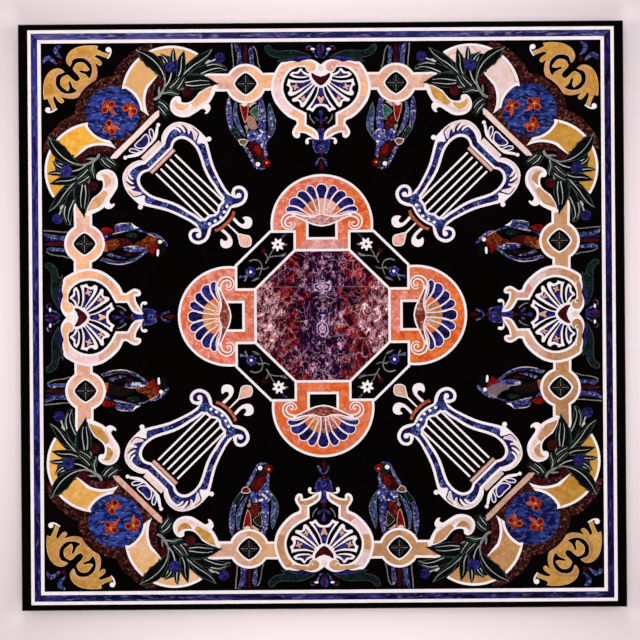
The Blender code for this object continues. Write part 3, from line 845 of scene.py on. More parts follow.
# %% Medallion's fan
def fan():
    """Three flutes on each side and the tail in the middle, each a white stone with blue let into it."""
    put = motif("medallion_fan", SIDE)

    def placed(points, shift=2.3):
        """Points of the fan, moved out from the axis as the real one lies."""
        return raw(marks(points) + (shift, 0))

    flutes = (
        ("18,431.5 20,435.5 25,438 30,441", "32,445 35,445.3 38.5,441.5", "42,439.3 49,439 54,433.8",
         "46,429.3 36,428 26,428.5"),
        ("15,426.5 19,425.3 25,424 32,423.2 42,423.5 50,425 56.3,427", "57.5,421 59.5,415.5",
         "55,412.5 53.6,408.5 55,404.5 57.5,402", "55,397 51,396.2 44,398.5 36,403 27,410 18,416.5 11,421"),
        ("10,419.5 17,414 25,407 34,400 42,394.5 49.3,391", "49.5,387 45,385.6 41,386.6 37,386",
         "35.5,382 34.5,377 31,375", "27,378 21,387 14,398 9,408 6,415.5"),
    )
    for runs in flutes:
        shape = outlined(placed, *runs)
        put("white_marble", shape)
    put("lapis_dark", placed(outline("20,432.5 26,434 30,437 33,441.3", "36,438 39,436 46.5,436",
        "47.5,434 42,432 33,430.8 25,431")))
    put("mauve_stone", placed(outline("29,434.5 33,438 37,434.5 33,432.5")))
    blue = placed(outline("15,424.3 20,423 26,421 32,419.7 45,420 53,420.3",
        "53,417 50,412 48.6,408 49.4,403", "43,404.3 34,409 25,414 16,419.5"))
    put("lapis", blue)
    put("lapis_dark", blue, within=placed("40,400 60,400 60,425 38.5,425"))
    put("rose_marble", star(placed("43.4,412.4")[0], 6.4, 4, 0.3))
    blue = placed(outline("10,416.5 15,411 22,404.5 30,398 39.5,390.3", "35,388.7 32.5,386.5 31,382.8",
        "28,386 24,391 18,400 12,409 8.5,414"))
    put("lapis", blue)
    put("lapis_dark", blue, within=placed("25,380 40,380 36,394 24,396"))
    put("rose_marble", star(placed("29.6,391.4")[0], 5.6, 4, 0.3))

    def on_axis(points):
        """The same for the tail."""
        return placed(points, 2.5)

    tail = both(on_axis(outline("-2.5,413 2,412.5 5,402 9,393 14,385 19,378.5 24.3,372.5",
        "23.5,371 18,370 13,366.8", "10.5,369 8,373 3,376.6 -2.5,377.7")))
    put("white_marble", tail)
    deep = both(on_axis(outline("-2.5,410.3 0.6,410 2.4,403 5,395 8.5,388.5 12.5,381 16.5,375.5",
        "14.5,373.3 12,375 9,379 5,381 -2.5,381.6")))
    put("lapis", deep)
    put("lapis_dark", deep, within=both("0,370 22,370 22,388 9,392 4,396 0,397"))
    put("pink_marble", both(on_axis(outline("-2.5,392 0,394.5 3,395.5",
        "3.6,392.5 1,386.5 -0.5,382 -2.5,382"))))


draw(fan)

# %% [markdown]
# ## Finial, tulip and ring
# A drop hangs from each medallion toward the lobe, a tulip with long green leaves stands over it against
# the border, and four dark leaves cross in the strap's ring. All of these are small stones, so each is one
# plain shape.

# %% Finial, tulip and leaves in the ring
def finial():
    """Two hooks, a bud, the cup below it with its drop, and the small stones above the hooks."""
    put = motif("finial", SIDE)
    put("white_marble", outlined(sided, "9,316.5 14,318.2 20,317.5 21,315",
        "20,312 21.5,309.3 24.5,309 26.5,312 26.3,316 23.8,319.5 18.5,321 12,319"))
    put("lapis", both("0,335.5 6,335.5 6.3,331 4.6,324 4.2,316 0,314"))
    put("lapis_dark", both("0,331 2.5,331 2.5,326 0,325"))
    put("mauve_stone", both("0,337 5.5,336.5 6,334.2 0,334.2"))
    put("red_jasper", both("0,345 2.5,344 4,338 0,337"))
    cup = both(outline("0,318 4,316.5 8,317.5 14.5,319", "15.5,311 14.3,303 12,296.5 8,291.5",
        "5,293.5 0,294.5"))
    put("lilac_stone", cup)
    put("lapis", inset(cup, 1.7))
    put("lapis_dark", both(outline("3.5,315 9,313 11.3,305 9.5,298", "6.5,303 6,309")))
    put("lilac_stone", circle((0, 303), 5.2))
    put("lapis_dark", circle((0, 303), 2.4))
    put("red_jasper", both("0,294.5 3.6,293.5 3,289 0,287.5"))
    put("lilac_stone", sided(stroke("0.4,285 4,282 6,277 8.5,270", (2, 4, 3.4))))
    put("red_jasper", both(outline("0,281 2.2,274 4.2,267 3,262 0,259")))
    # above the hooks, inside the medallion's foot
    put("lapis", both(outline("0,370.5 3.5,369 3.6,364 1,359 0,358")))
    put("lilac_stone", both("0,364 1.3,362 1.2,356 0,355"))
    put("mauve_stone", sided(leaf("3,350 7,354 10,359", 5)))
    put("stem_stone", sided(stroke("10,346.5 14,351 17.5,357 18.6,363", (2.4, 1.6))))
    put("lapis_dark", both("0,355 3,353 3,347 0,345"))


def plume():
    """A tulip on the axis, curls and a leaf beside it, and the long green leaf with blue under it."""
    put = motif("tulip", SIDE)
    tulip = both(outline("0,489 4,488.8 7.5,483 6,474 3,467 0,462"))
    put("lapis", tulip)
    put("red_jasper", both("0,489 2.4,488.5 1.8,470 0,467"))
    put("lilac_stone", sided(stroke("3.5,464 7.5,468 10.5,475 12.5,480.5", (2, 3.4))))
    put("white_marble", sided(leaf("8.5,480 13,480.3 17,479.4", 4.4)))
    put("lilac_stone", sided(stroke("14,482 16.5,485.5 20,485.5 23.5,482.5", (2, 3))))
    put("red_jasper", sided(circle((22.5, 480), 3.2)))
    green = outlined(sided, "12,465 21,470.5 32,475.5 45,478.5 60,478.3 74,478 83,480.5 90,488",
        "95,488.5 99,485.5 98,478 92,470.5 83,466 72,464 73.5,460 78,457.5",
        "70,457.5 62,459.5 48,463.5 30,465.5")
    put("grey_leaf", green)
    put("teal_stone", inset(green, 1.7))
    under = outlined(sided, "13,461.8 24,466.8 36,466.8 48,464.3 58,459.5 63,456.5",
        "50,459.8 38,459.5 26,462")
    put("lapis", under)
    put("lapis_dark", outlined(sided, "20,463 32,461.2 46,460.6 55,459.5", "44,462.5 30,464"))


def roundel_leaves():
    """Four leaves in a cross, each with a midrib, and a red stone where they meet."""
    put = motif("roundel_leaves", SIDE)
    for i in range(4):
        a = radians(90 * i + 45) - pi / 4
        way = np.array([cos(a), sin(a)])
        midrib = [RING, RING + 8 * way, RING + 15.5 * way]
        put("grey_leaf", leaf(midrib, 11))
        put("dark_leaf", inset(leaf(midrib, 11), 1.1))
        put("stem_stone", stroke(midrib, (1.6, 0.6)))
    put("red_jasper", circle(RING, 2.6))


draw(finial, plume, roundel_leaves)

# %% [markdown]
# ## Clouds and bars
# Each corner is backed by a mottled red breccia with a lobed outline. A pale bar crosses it on the inside,
# and the crescents and the blue disc are let into it afterward.

# %% Cloud and bar
DISC = (519.9, 0.0)  # the blue disc's middle, out along the diagonal
HORN_RING, HORN_HOLLOW = ((470, 96.7), 87.5), ((452, 98), 59.3)  # the crescent's two circles


def cloud():
    """The mottled stone behind the disc: three round lobes outside, the crescents' hollows and the bar inside."""
    contour = outline("582.6,0 582,8 580.5,20 577.5,31 572.5,40 566.5,48",
        "571,60 573.5,72 573.7,84 573,95 571.5,108 567,123 557,137")
    hollow = outline("557,137 540,125 507,104 502,92 496,81 488.5,71.6 480,63 473.6,58.2 467,54", "467,0")
    shape = wings(np.vstack([contour, hollow]))
    lay("cloud_band", "tortoise_breccia", AXIS, shape)
    lay("cloud_band", "wine_breccia", WINGS, shape, within=circle(*HORN_HOLLOW))


def corner_bar():
    """A straight bar across the diagonal."""
    bar = outline("457.5,0 457.5,54", "466.7,57 466.7,0")
    lay("corner_bar", "bar_marble", AXIS, wings(bar))


draw(cloud, corner_bar)

# %% [markdown]
# ## Corner disc
# A blue disc carries three orange flowers, each with a tongue, two curls and a tuft. Their petals are
# leaves turned about the flower's middle, first the orange stone and then the red one in it.

# %% Corner disc
def turned(points, middle, degrees):
    """Points turned about zero by the angle, then moved to the middle."""
    points = marks(points)
    c, s = cos(radians(degrees)), sin(radians(degrees))
    return np.asarray(middle) + points @ np.array([[c, s], [-s, c]])


def fleuron(middle, degrees, stem):
    """A tongue, two curls beside it and a tuft behind: each is a leaf turned about the middle."""
    def petal(stone, tilt, first, last, width, full=0.6):
        """A leaf from first to last along a line that is tilted from the flower's own."""
        line = leaf([(first, 0), ((first + last) / 2, 0), (last, 0)], width, full)
        lay("corner_disc", stone, PLAIN, turned(turned(line, (0, 0), tilt), middle, degrees))

    lay("corner_disc", "orange_jasper", PLAIN, leaf(stem, 7.4, 0.42))
    for tilt in (-104, 104):
        petal("orange_jasper", tilt, -1, 15, 13)
        petal("red_bright", tilt, 2, 13.2, 8.6)
    for tilt in (-40, 40, 0):
        petal("orange_jasper", tilt, -1, 13.5 - abs(tilt) / 20, 6.2)
        petal("red_bright", tilt, 3, 11, 3.4)
    lay("corner_disc", "gold_marble", PLAIN, circle(middle, 2.4))


def corner_disc():
    """A disc of flecked blue with three flowers on it."""
    lay("corner_disc", "disc_lapis", AXIS, circle(DISC, 47.8, 96))
    fleuron((343.6 / K, 375.5), 112, raw("342.5,376 343.5,366 341.5,355"))
    fleuron((384.5 / K, 380), 50, raw("384,380 376.5,371.5 368,364.5"))
    fleuron((381 / K, 341), -20, raw("381,341 371,341.5 361.5,338.5"))


draw(corner_disc)

# %% [markdown]
# ## Crescents
# Two crescents of yellow marble embrace the disc. Each is sawn along two circles, so arcs draw it exactly,
# and its white edge is the same shape a little larger.

# %% Horns
def horn():
    """The crescent lies between two circles. Its far part ends in a jagged line where leaves cross it, and a last
    piece shows beyond them."""
    ragged = "510.5,104 515,102 520.5,104.5 528,103.5 537,101 545,103.5 551,102 558.5,104.5"
    rim = arc(DISC, 49.6, 72.5, 129)
    shape = np.vstack([arc(*HORN_RING, 5.2, -38.5), rim, arc(*HORN_HOLLOW, -72.5, -22), smooth(ragged)])
    fill = np.vstack([arc(HORN_RING[0], 82.8, 8, -31.5), arc(DISC, 54.4, 66, 131),
        arc(HORN_HOLLOW[0], 64.2, -68, -18), smooth("511.5,107 515,102 520.5,104.5 528,103.5 537,101 "
        "545,103.5 552,102 556,108")])
    end = np.vstack([arc(*HORN_RING, 79, 12), smooth("545,118 536,128 528,138 517,145 508,148 499,144 "
        "490,142 488.5,165 487,182.5")])
    end_fill = np.vstack([arc(HORN_RING[0], 83, 77, 10),
        smooth("545,118 536,128 528,138 517,145 508,148 499,144 490,142 489,158 488,176")])
    for place, mirror in (("corner_side", 1), ("corner_end", -1)):
        at = ((place, lambda line, mirror=mirror: from_diagonal(marks(line) * (1, mirror))),)
        for white, body in ((shape, fill), (end, end_fill)):
            lay("horn", "white_marble", at, white)
            lay("horn", "horn_marble", at, body)


draw(horn)

# %% [markdown]
# ## Leaf sprays
# From behind each crescent grows a spray of dark leaves with pale midribs, blue and red berries and a grey
# stem. A leaf is nearly black on a black ground, so a thin grey-green edge parts the two.

# %% Leaf sprays
def spray():
    """Dark leaves with pale midribs, round one stem. Each is an outline, or a leaf along its own midrib."""
    put = motif("leaf_spray", ENDS)

    def line(points, width, stone="midrib_stone"):
        """A thin band."""
        put(stone, stroke(raw(points), width))

    def blade(points, width, full=0.45, stone="dark_leaf", rib=(1.8, 1.4, 0.7)):
        """A leaf along its midrib, the midrib over it."""
        points = marks(points)
        put("leaf_edge", leaf(raw(points), width, full))
        put(stone, leaf(raw(points), width - 1.6, full))
        line(points[1:-1] if len(points) > 4 else points, rib)

    def cut_leaf(runs, ribs, stone="dark_leaf"):
        """A leaf by its outline, with ribs of its own."""
        shape = outlined(raw, *runs)
        put("leaf_edge", shape)
        put(stone, inset(shape, 0.8))
        for rib in ribs:
            line(rib, (1.9, 1.5, 0.7))

    # leaves over the crescent
    cut_leaf(("194,482 201,479.5 215,472.6 228,466 235.5,456.5 239,447", "252,434 246,430",
        "236,440 222,450 206,463"), ("252,432 240.5,442.5 228,453 214,462 203,471 196,480",))
    cut_leaf(("245.5,480.5 243.6,470 243,457 243.5,445 250,430", "260,434 258.8,450 258.5,461",
        "255,468 249.8,475"), ("259,428 255,436 251.6,446 251,460 249,470",))
    cut_leaf(("264.5,484 261.5,476 260.3,466 259.5,455", "270.5,455 271,468 268.8,478"),
        ("265,458 266,469 265.4,479",))
    cut_leaf(("288.8,474.5 280,471.5 272.5,465 269,458", "279,452 284,460 286.5,467"),
        ("274.5,457 279.5,465 287,472", "281,457 284.5,464"))
    cut_leaf(("333,482.5 321.8,481.5 309,478.4 298.3,473 289.3,463 282.5,449 278.5,430",
        "287,430 295.5,438.4", "303,443 309,449 314,452 319.5,458.5 325.5,468 328,474.5"),
        ("281,424 283.3,436 289.3,448 300,461 314.5,471.8 327,478 332,481",))
    # leaves over the strap and toward the bird
    cut_leaf(("168,443.5 173,451 184,456 198,457 212,452.5 226,447", "236,438", "222,434 208,436 190,440"),
        ("216,437 206,441.5 195,445.5 181,447 170,442.5", "205,452 190,454 176,450"))
    cut_leaf(("181.5,418.6 188,421.4 199,428.5 208,433.2 220,436.8 233,437.6 246,433.5 254,425",
        "250,412 238,410 224.5,409 211.8,411.3 199,415"),
        ("244,421.5 224.5,424.5 212,425 201,423.5", "243.5,417 228,415.6 213.7,417 200,418.4"))
    line("252,431.5 240,434.5 224,435.4 212,432.5", (2.6, 3.2, 2, 1), "green_stone")
    # the sweep of the stems
    blade("283,408 272,412 262,421 254,431 247,440", 10, 0.5)
    blade("266,403 259,410 252,419 246,430 241,437", 10, 0.5)
    line("257,404 250,412 246,421 244,432", (1.2, 1.6, 1.0), "green_stone")
    line("279.5,415 273,425 269.5,436 268.6,446", (1.8, 2.2, 1.4))
    blade("284,402 272,404.5 262,401.5 255,401", 9, 0.5, "green_stone", (1.6, 1.2, 0.6))
    # leaves below the stem
    blade("300,389 292,388 283,382 275,372 270,360", 11, 0.45, "dark_leaf", (1.2, 1.8, 0.8))
    blade("301,385 293,380 285.5,371 280,363 277,355", 10, 0.45, "dark_leaf", (1.2, 1.8, 0.8))
    line("295,388 284,380 276.5,369 273.5,360", (1, 1.2, 0.8), "green_stone")
    line("297,381 288,371 283,362 281,356", (1, 1.2, 0.8), "green_stone")
    put("grey_stone", stroke(raw("300.5,391.5 294,394.5 289,400 284.5,407 281,416 280.5,426 282.5,435"),
        (4.6, 5.4, 3.4, 2)))
    put("grey_stone", stroke(raw("290.6,399 291.8,406 291,414"), (4.4, 3.6, 2.6)))
    put("berry_lapis", circle(raw("269,450")[0], 10.8))
    put("berry_red", circle(raw("241,403.5")[0], 9.2))
    put("berry_red", circle(raw("290,423")[0], 8.4))
    put("grey_stone", stroke(raw("246,412 250.5,409.5 255,409.5"), (1, 3, 1)))
    put("berry_lapis", circle(raw("181.5,466")[0], 9.6))
    put("midrib_stone", outlined(raw, "189.5,464 198,460.8 202,461.8 209,456",
        "204,455.5 199.5,458 189.5,461"))


draw(spray)

# %% [markdown]
# ## Gold scroll
# A scroll of golden marble stands in the corner behind the cloud. It is one sawn sheet with a pale edge,
# and the black opening is let into it.

# %% Gold scroll
def beside(points):
    """Points read in x and y, as out along the corner's diagonal and across it."""
    x, y = marks(points).T
    return np.stack([(x / K + y) / sqrt(2), (y - x / K) / sqrt(2)], 1)


def gold_scroll():
    """Two leaves that turn their backs to the corner, a band that joins them, and an S inside. All of it is one
    outline with the black opening laid over it, and a paler edge follows both."""
    single = motif("gold_scroll", AXIS)
    pair = motif("gold_scroll", WINGS)
    body = wings(outlined(beside, "422.6,414.7 414.9,421.3 406.6,426.3 403.9,430.1 402.2,436.7 402.2,443.3 "
        "403.3,449.9 405.8,458.8", "402.6,456 399,453.2 395.2,454.2 394.2,458.4 398,463.4 403.6,467.2 "
        "407.6,469.6", "404,472.3 398,471.4 390,468.4 383.6,466.2", "381.5,470 382.6,474.4",
        "390,476.6 397,479.6 402.8,482.6", "400.4,488",
        "406,489.2 417,489.6 428,488.8 436.8,487 443.5,484.3 450,480 455,474.4 457.8,467.4 458,461.4 "
        "455.2,455.4 451.4,451.6", "449,439.7"))
    opening = wings(outlined(beside, "449,439.7 451.4,451.6",
        "449,456.5 446.8,462.6 442.4,465.9 437.4,467.2 431.9,467.2 426.4,466.4 420.9,463.1 416.5,459.4 "
        "413.2,454.3 411.6,447.7 411.8,441.1 413.8,434.5 416.5,429.6",
        "420.4,434 422.6,436.7 427,438.9 432.5,441.1 435,443.6 431.4,445 427,443.9 422.6,443.3 418.7,443.9 "
        "416,446.6", "420.4,452.1 424.8,457.1 429.2,459.3 433.6,459.6 439.1,458.2 442.9,454.9 446.2,448.8",
        "446,446.1 443.5,442.8 439.1,438.4 435.8,434.5 433.8,430.1 434.4,427.6 436,427"))
    single("gold_pale", body)
    single("gold_marble", inset(body, 1.2))
    single("gold_rose", wings(outlined(beside, "422.6,414.7 414.9,421.3 406.6,426.3 403.9,430.1 402.2,436.7 "
        "402.2,443.3 403.3,449.9 405.8,458.8", "411.4,455 411.6,447.7 411.8,441.1 413.8,434.5 416.5,429.6",
        "428.3,419.5")))
    pair("gold_rose", outlined(beside, "411,463 419,470.5 430,474 441,473.4 450,469 456,461",
        "452,455 447,463.5 438,468.5 428,468 417,461"))
    single("gold_pale", inset(opening, -1.3), within=body)
    lay("ground", "ground", AXIS, opening)
    pair("white_marble", stroke(beside("384,465.2 380.3,471 378,477 378.6,483 382,485.4"), (2, 3, 3.2, 3)))
    pair("white_marble", circle(beside("382.4,481.6")[0], 4.6))


def blossom():
    """Two bent petals and a red eye, in the very corner."""
    single = motif("blossom", AXIS)
    pair = motif("blossom", WINGS)
    petal = outline("652,5.4 659,4 667,3.8 672.6,6 675.6,12 674.6,18.6 670.6,23",
        "668,20.6 668.6,15 666,11 660,9.6 653,8.6")
    pair("lilac_stone", petal)
    pair("lapis_flecked", inset(petal, 1.1))
    single("red_jasper", circle((649.4, 0), 4.2))


draw(gold_scroll, blossom)

# %% [markdown]
# ## Cutting the sheet
# A mason cuts every stone to the lines that it shares with its neighbours, so that nothing overlaps. Here all
# outlines go into one triangulation that keeps every line as an edge. Each triangle then belongs to the
# outline that was laid last over its middle. Boolean cuts would reach the same end, but hundreds of them are
# slow and leave slivers, and this way two neighbours share exactly the same edge.

# %% Triangles of one quarter
SLAB = (545.0, 528.0)  # mm from the middle to the edge of the block
SNAP, ON_AXIS, SLIVER = 1e-4, 1e-6, 1e-9  # mm between points, mm to an axis, mm2: less counts as nothing
reach = np.array([SLAB[0] / K, SLAB[1]])


def line_work():
    """Every outline's points and edges in one list, with the quarter's own frame. Lines that lie wholly in
    another quarter are left out."""
    lines = [line for region in REGIONS for line in region[3]]
    sizes = np.array([len(line) for line in lines])
    points = np.vstack(lines)
    index = np.arange(len(points))
    follow = index + 1
    follow[np.cumsum(sizes) - 1] = np.cumsum(sizes) - sizes
    highest = np.maximum(points, points[follow])
    keep = (highest[:, 0] > -1) & (highest[:, 1] > -1)
    edges = np.stack([index, follow], 1)[keep]
    box = np.array([(0, 0), (reach[0], 0), reach, (0, reach[1])])
    ring = len(points) + np.array([(0, 1), (1, 2), (2, 3), (3, 0)])
    return np.vstack([points, box]), np.vstack([edges, ring])


def winds(line, points):
    """How often a closed line runs round each point: the upward crossings to its right less the downward ones."""
    x0, y0 = line.T
    x1, y1 = np.roll(line, -1, axis=0).T
    x, y = points[:, :1], points[:, 1:]
    turn = (x1 - x0) * (y - y0) - (x - x0) * (y1 - y0)
    return ((y0 <= y) & (y1 > y) & (turn > 0)).sum(1) - ((y0 > y) & (y1 <= y) & (turn < 0)).sum(1)


points, edges = line_work()
cut = delaunay_2d_cdt(points.tolist(), edges.tolist(), [], 0, SNAP)
flat = np.array([tuple(v) for v in cut[0]])
flat[np.abs(flat) < ON_AXIS] = 0
faces = np.array(cut[2])
corners = flat[faces]
one, two = corners[:, 1] - corners[:, 0], corners[:, 2] - corners[:, 0]
twice = one[:, 0] * two[:, 1] - two[:, 0] * one[:, 1]  # twice each triangle's area
faces[twice < 0] = faces[twice < 0][:, ::-1]
middle = corners.mean(1)
wanted = (middle > 0).all(1) & (middle < reach).all(1) & (np.abs(twice) > SLIVER)
faces, middle = faces[wanted], middle[wanted]
print("triangles in a quarter:", len(faces))

# %% [markdown]
# ## Which stone a triangle belongs to
# The outlines are tried in the order in which they were laid, so the last one over a triangle keeps it. A
# stone that is cut off by a mask has to lie within the mask as well.

# %% Triangles dealt out
region_of = np.full(len(faces), -1)
for number, (piece, place, stone, lines, masked) in enumerate(REGIONS):
    bottom, top = np.vstack(lines).min(0), np.vstack(lines).max(0)
    near = np.flatnonzero((middle > bottom).all(1) & (middle < top).all(1))
    if len(near) == 0:
        continue
    solid = lines[:-1] if masked else lines
    hit = np.zeros(len(near), bool)
    for line in solid:
        hit |= winds(line, middle[near]) > 0
    if masked:
        hit &= winds(lines[-1], middle[near]) > 0
    region_of[near[hit]] = number
print("regions that show:", len(np.unique(region_of)), "of", len(REGIONS))

# %% [markdown]
# ## All four quarters
# The quarter is mirrored to the left and downward. A stone that reaches an axis is one stone with its mirror
# image, so the points on the axes are shared, and the two halves carry the same number.

# %% Four quarters as one sheet
QUARTERS = ((1, 1), (-1, 1), (-1, -1), (1, -1))
on_axis = flat == 0
touches = np.zeros((len(REGIONS) + 1, 2), bool)
for axis in (0, 1):
    two = on_axis[faces, axis].sum(1) > 1
    touches[region_of[two], axis] = True
sheet_points = np.vstack([flat * sign for sign in QUARTERS]) * (K, 1)
sheet_faces, sheet_label = [], []
for quarter, (sx, sy) in enumerate(QUARTERS):
    home = np.zeros(len(flat), int)
    for other, (ox, oy) in enumerate(QUARTERS):
        fits_across = np.where(on_axis[:, 0], ox == 1, ox == sx)
        fits_along = np.where(on_axis[:, 1], oy == 1, oy == sy)
        home[fits_across & fits_along] = other
    turned_faces = (home * len(flat) + np.arange(len(flat)))[faces]
    sheet_faces.append(turned_faces if sx * sy > 0 else turned_faces[:, ::-1])
    left = (sx < 0) & ~touches[region_of, 0]
    low = (sy < 0) & ~touches[region_of, 1]
    sheet_label.append(region_of * 4 + left + 2 * low)
sheet_faces, sheet_label = np.vstack(sheet_faces), np.concatenate(sheet_label)
laid = sheet_label >= 0
sheet_faces, sheet_label = sheet_faces[laid], sheet_label[laid]
print("triangles in the sheet:", len(sheet_faces), "stones:", len(np.unique(sheet_label)))

# %% [markdown]
# ## Joints
# A stone's rim is every edge that it doesn't share with a triangle of its own. The rim moves inward by less
# than a tenth of a millimetre, which leaves the hairline joint that can be felt on a real inlay and only just
# seen.

# %% Rims and joints
JOINT = 0.07  # mm that each side of a joint moves back
SHARP = 0.8  # keeps the tip of a pointed stone from moving far
total = len(sheet_points)
ahead = np.concatenate([sheet_faces[:, (0, 1)], sheet_faces[:, (1, 2)], sheet_faces[:, (2, 0)]])
ahead_label = np.tile(sheet_label, 3)
key = ahead[:, 0] * total + ahead[:, 1]
order = np.argsort(key)
back = ahead[:, 1] * total + ahead[:, 0]
spot = np.minimum(np.searchsorted(key[order], back), len(key) - 1)
found = key[order][spot] == back
same_stone = found & (ahead_label[order][spot] == ahead_label)
rim = ahead[~same_stone]
rim_label = ahead_label[~same_stone]
own_key, own_faces = np.unique(sheet_label[:, None] * total + sheet_faces, return_inverse=True)
own_faces = own_faces.reshape(-1, 3)
own_points = sheet_points[own_key % total]
rim_own = np.searchsorted(own_key, rim_label[:, None] * total + rim)
along = own_points[rim_own[:, 1]] - own_points[rim_own[:, 0]]
along /= np.maximum(np.linalg.norm(along, axis=1), SLIVER)[:, None]
inward = left_of(along)
push = np.zeros_like(own_points)
np.add.at(push, rim_own[:, 0], inward)
np.add.at(push, rim_own[:, 1], inward)
own_points = own_points + push * (2 * JOINT / np.maximum((push**2).sum(1), SHARP))[:, None]
print("rim edges:", len(rim))

# %% [markdown]
# ## Names
# Stones that belong to one motif become one object, named for the motif and its place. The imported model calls
# the places north, east, south and west, as on a map, and the two birds of a side left and right.

# %% Which object a stone belongs to
WHOLE = ("ground", "centre_fillet", "centre_octagon", "outer_fillet", "lapis_border", "inner_fillet")
PAIRED = ("bird", "tail", "roundel_leaves")


def owner(piece, place, left, low):
    """The object's name, from the motif, its place in the drawn quarter and the quarter that it lies in."""
    up, across = "south" if low else "north", "west" if left else "east"
    if piece in WHOLE:
        return "black_ground" if piece == "ground" else piece
    if place in ("north", "east"):
        side = up if place == "north" else across
        hand = ("left" if left else "right") if place == "north" else ("left" if low else "right")
        return f"{piece}_{side}_{hand}" if piece in PAIRED else f"{piece}_{side}"
    if place in ("corner_end", "corner_side"):
        return f"{piece}_{up}_{across}_{place[7:]}"
    return f"{piece}_{up}_{across}"


labels = np.unique(sheet_label)
names = {}
for label in labels:
    piece, place = REGIONS[label // 4][:2]
    names[label] = owner(piece, place, bool(label % 4 & 1), bool(label % 4 & 2))
objects = sorted(set(names.values()))
print("objects:", len(objects))

# %% [markdown]
# ## Kinds of stone
# Polished stone has next to no relief, so its whole character is in the colour: soft clouds, thin veins, and
# flecks. One node group makes all three from the place on the tile, and every marble of the tile is that group
# with its own colours and sizes. Each stone also carries a number of its own, its tone, which shifts the
# pattern and lightens or darkens it a little, because neighbouring stones come from different slabs. The tone
# also rises toward the top left, partly for paler stones there and partly as painted light.

# %% Reckoning with numbers that differ from place to place
def wire(group, start, end):
    """Joins an output to an input. A plain number or colour is written into the input instead."""
    if isinstance(start, (int, float, tuple)):
        end.default_value = start
    else:
        group.links.new(getattr(start, "socket", start), end)


def maths(group, kind, *values):
    """One Math node: kind is what it does with the values."""
    node = group.nodes.new("ShaderNodeMath")
    node.operation = kind
    for value, socket in zip(values, node.inputs):
        wire(group, value, socket)
    return Number(group, node.outputs[0])


class Number:
    """A number that the renderer works out at every place. Each sum or product with it makes one Math node."""

    def __init__(self, group, socket):
        self.group = group
        self.socket = socket

    def __add__(self, other):
        return maths(self.group, "ADD", self, other)

    def __sub__(self, other):
        return maths(self.group, "SUBTRACT", self, other)

    def __rsub__(self, other):
        """The other number less this one."""
        return maths(self.group, "SUBTRACT", other, self)

    def __mul__(self, other):
        return maths(self.group, "MULTIPLY", self, other)

    def __truediv__(self, other):
        return maths(self.group, "DIVIDE", self, other)

    def __pow__(self, other):
        return maths(self.group, "POWER", self, other)

    def __abs__(self):
        return maths(self.group, "ABSOLUTE", self)


def clamped(number):
    """The same number, held between 0 and 1."""
    number.socket.node.use_clamp = True
    return number


def larger(a, b):
    """The larger of two numbers at every place."""
    return maths(a.group, "MAXIMUM", a, b)


def mixed(group, share, a, b, blend="MIX"):
    """A colour between a and b: all a where the share is 0, and all b where it is 1."""
    node = group.nodes.new("ShaderNodeMix")
    node.data_type, node.blend_type = "RGBA", blend
    for value, socket in zip((share, a, b), (node.inputs["Factor"], node.inputs[6], node.inputs[7])):
        wire(group, value, socket)
    return node.outputs[2]


def noise(group, vector, scale, detail, roughness=0.55, warp=0.0):
    """Soft noise round one half: scale is its swells in a metre, detail its finer layers, warp its curl."""
    node = group.nodes.new("ShaderNodeTexNoise")
    settings = {"Vector": vector, "Scale": scale, "Detail": detail, "Roughness": roughness,
        "Distortion": warp}
    for name, value in settings.items():
        wire(group, value, node.inputs[name])
    return Number(group, node.outputs["Fac"])


def vector_node(group, kind, *values):
    """One Vector Math node."""
    node = group.nodes.new("ShaderNodeVectorMath")
    node.operation = kind
    for value, socket in zip(values, node.inputs):
        wire(group, value, socket)
    return node.outputs


def parted(group, vector):
    """The three numbers of a place."""
    node = group.nodes.new("ShaderNodeSeparateXYZ")
    wire(group, vector, node.inputs[0])
    return [Number(group, socket) for socket in node.outputs]


def joined(group, x, y, z):
    """A place made of three numbers."""
    node = group.nodes.new("ShaderNodeCombineXYZ")
    for value, socket in zip((x, y, z), node.inputs):
        wire(group, value, socket)
    return node.outputs[0]


def tint(red, green, blue):
    """A colour as it looks on a screen, 0 to 255, as the light that the renderer counts with."""
    c = np.array([red, green, blue]) / 255
    return tuple(np.where(c <= 0.04045, c / 12.92, ((c + 0.055) / 1.055) ** 2.4)) + (1.0,)


def blank(name):
    """A new material, its nodes and its main shader."""
    material = bpy.data.materials.new(name)
    material.use_nodes = True
    return material, material.node_tree, material.node_tree.nodes["Principled BSDF"]


print("tint of a mid grey:", round(tint(128, 128, 128)[0], 4))

# %% [markdown]
# ## The pattern of a polished stone
# A sawn face of marble shows broad clouds where the stone was mud, thin veins where it cracked and healed, and
# flecks of crystal. Three noises of different size stand for the three, and the same shift by the stone's tone
# moves all of them, so that two stones of one kind never look alike.

# %% The pattern of a polished stone
PATTERN_INPUTS = (
    ("Ground", "Color", (0.5, 0.5, 0.5, 1)), ("Cloud", "Color", (0.6, 0.6, 0.6, 1)),
    ("Vein", "Color", (0.2, 0.2, 0.2, 1)), ("Fleck", "Color", (0.9, 0.9, 0.9, 1)),
    ("Cloud Scale", "Float", 30.0), ("Cloud Sharpness", "Float", 3.0), ("Vein Scale", "Float", 14.0),
    ("Vein Amount", "Float", 0.3), ("Vein Width", "Float", 0.03), ("Fleck Scale", "Float", 300.0),
    ("Fleck Amount", "Float", 0.0), ("Tone Swing", "Float", 0.12), ("Grain", "Float", 0.16),
    ("Polish", "Float", 0.16), ("Stretch", "Vector", (1, 1, 1)),
)
TONE_SHIFT = (3.7, 9.1, 23.0)  # metres that the pattern moves for one step of tone
FLECK_FROM, FLECK_RISE = 0.55, 9.0  # how high the fine noise is where a fleck begins, and how fast it shows
DUST_SCALE, SCUFF_SCALE = 620.0, 420.0
SCUFF_ROUGHNESS, CLOUD_HEIGHT = 0.08, 0.3


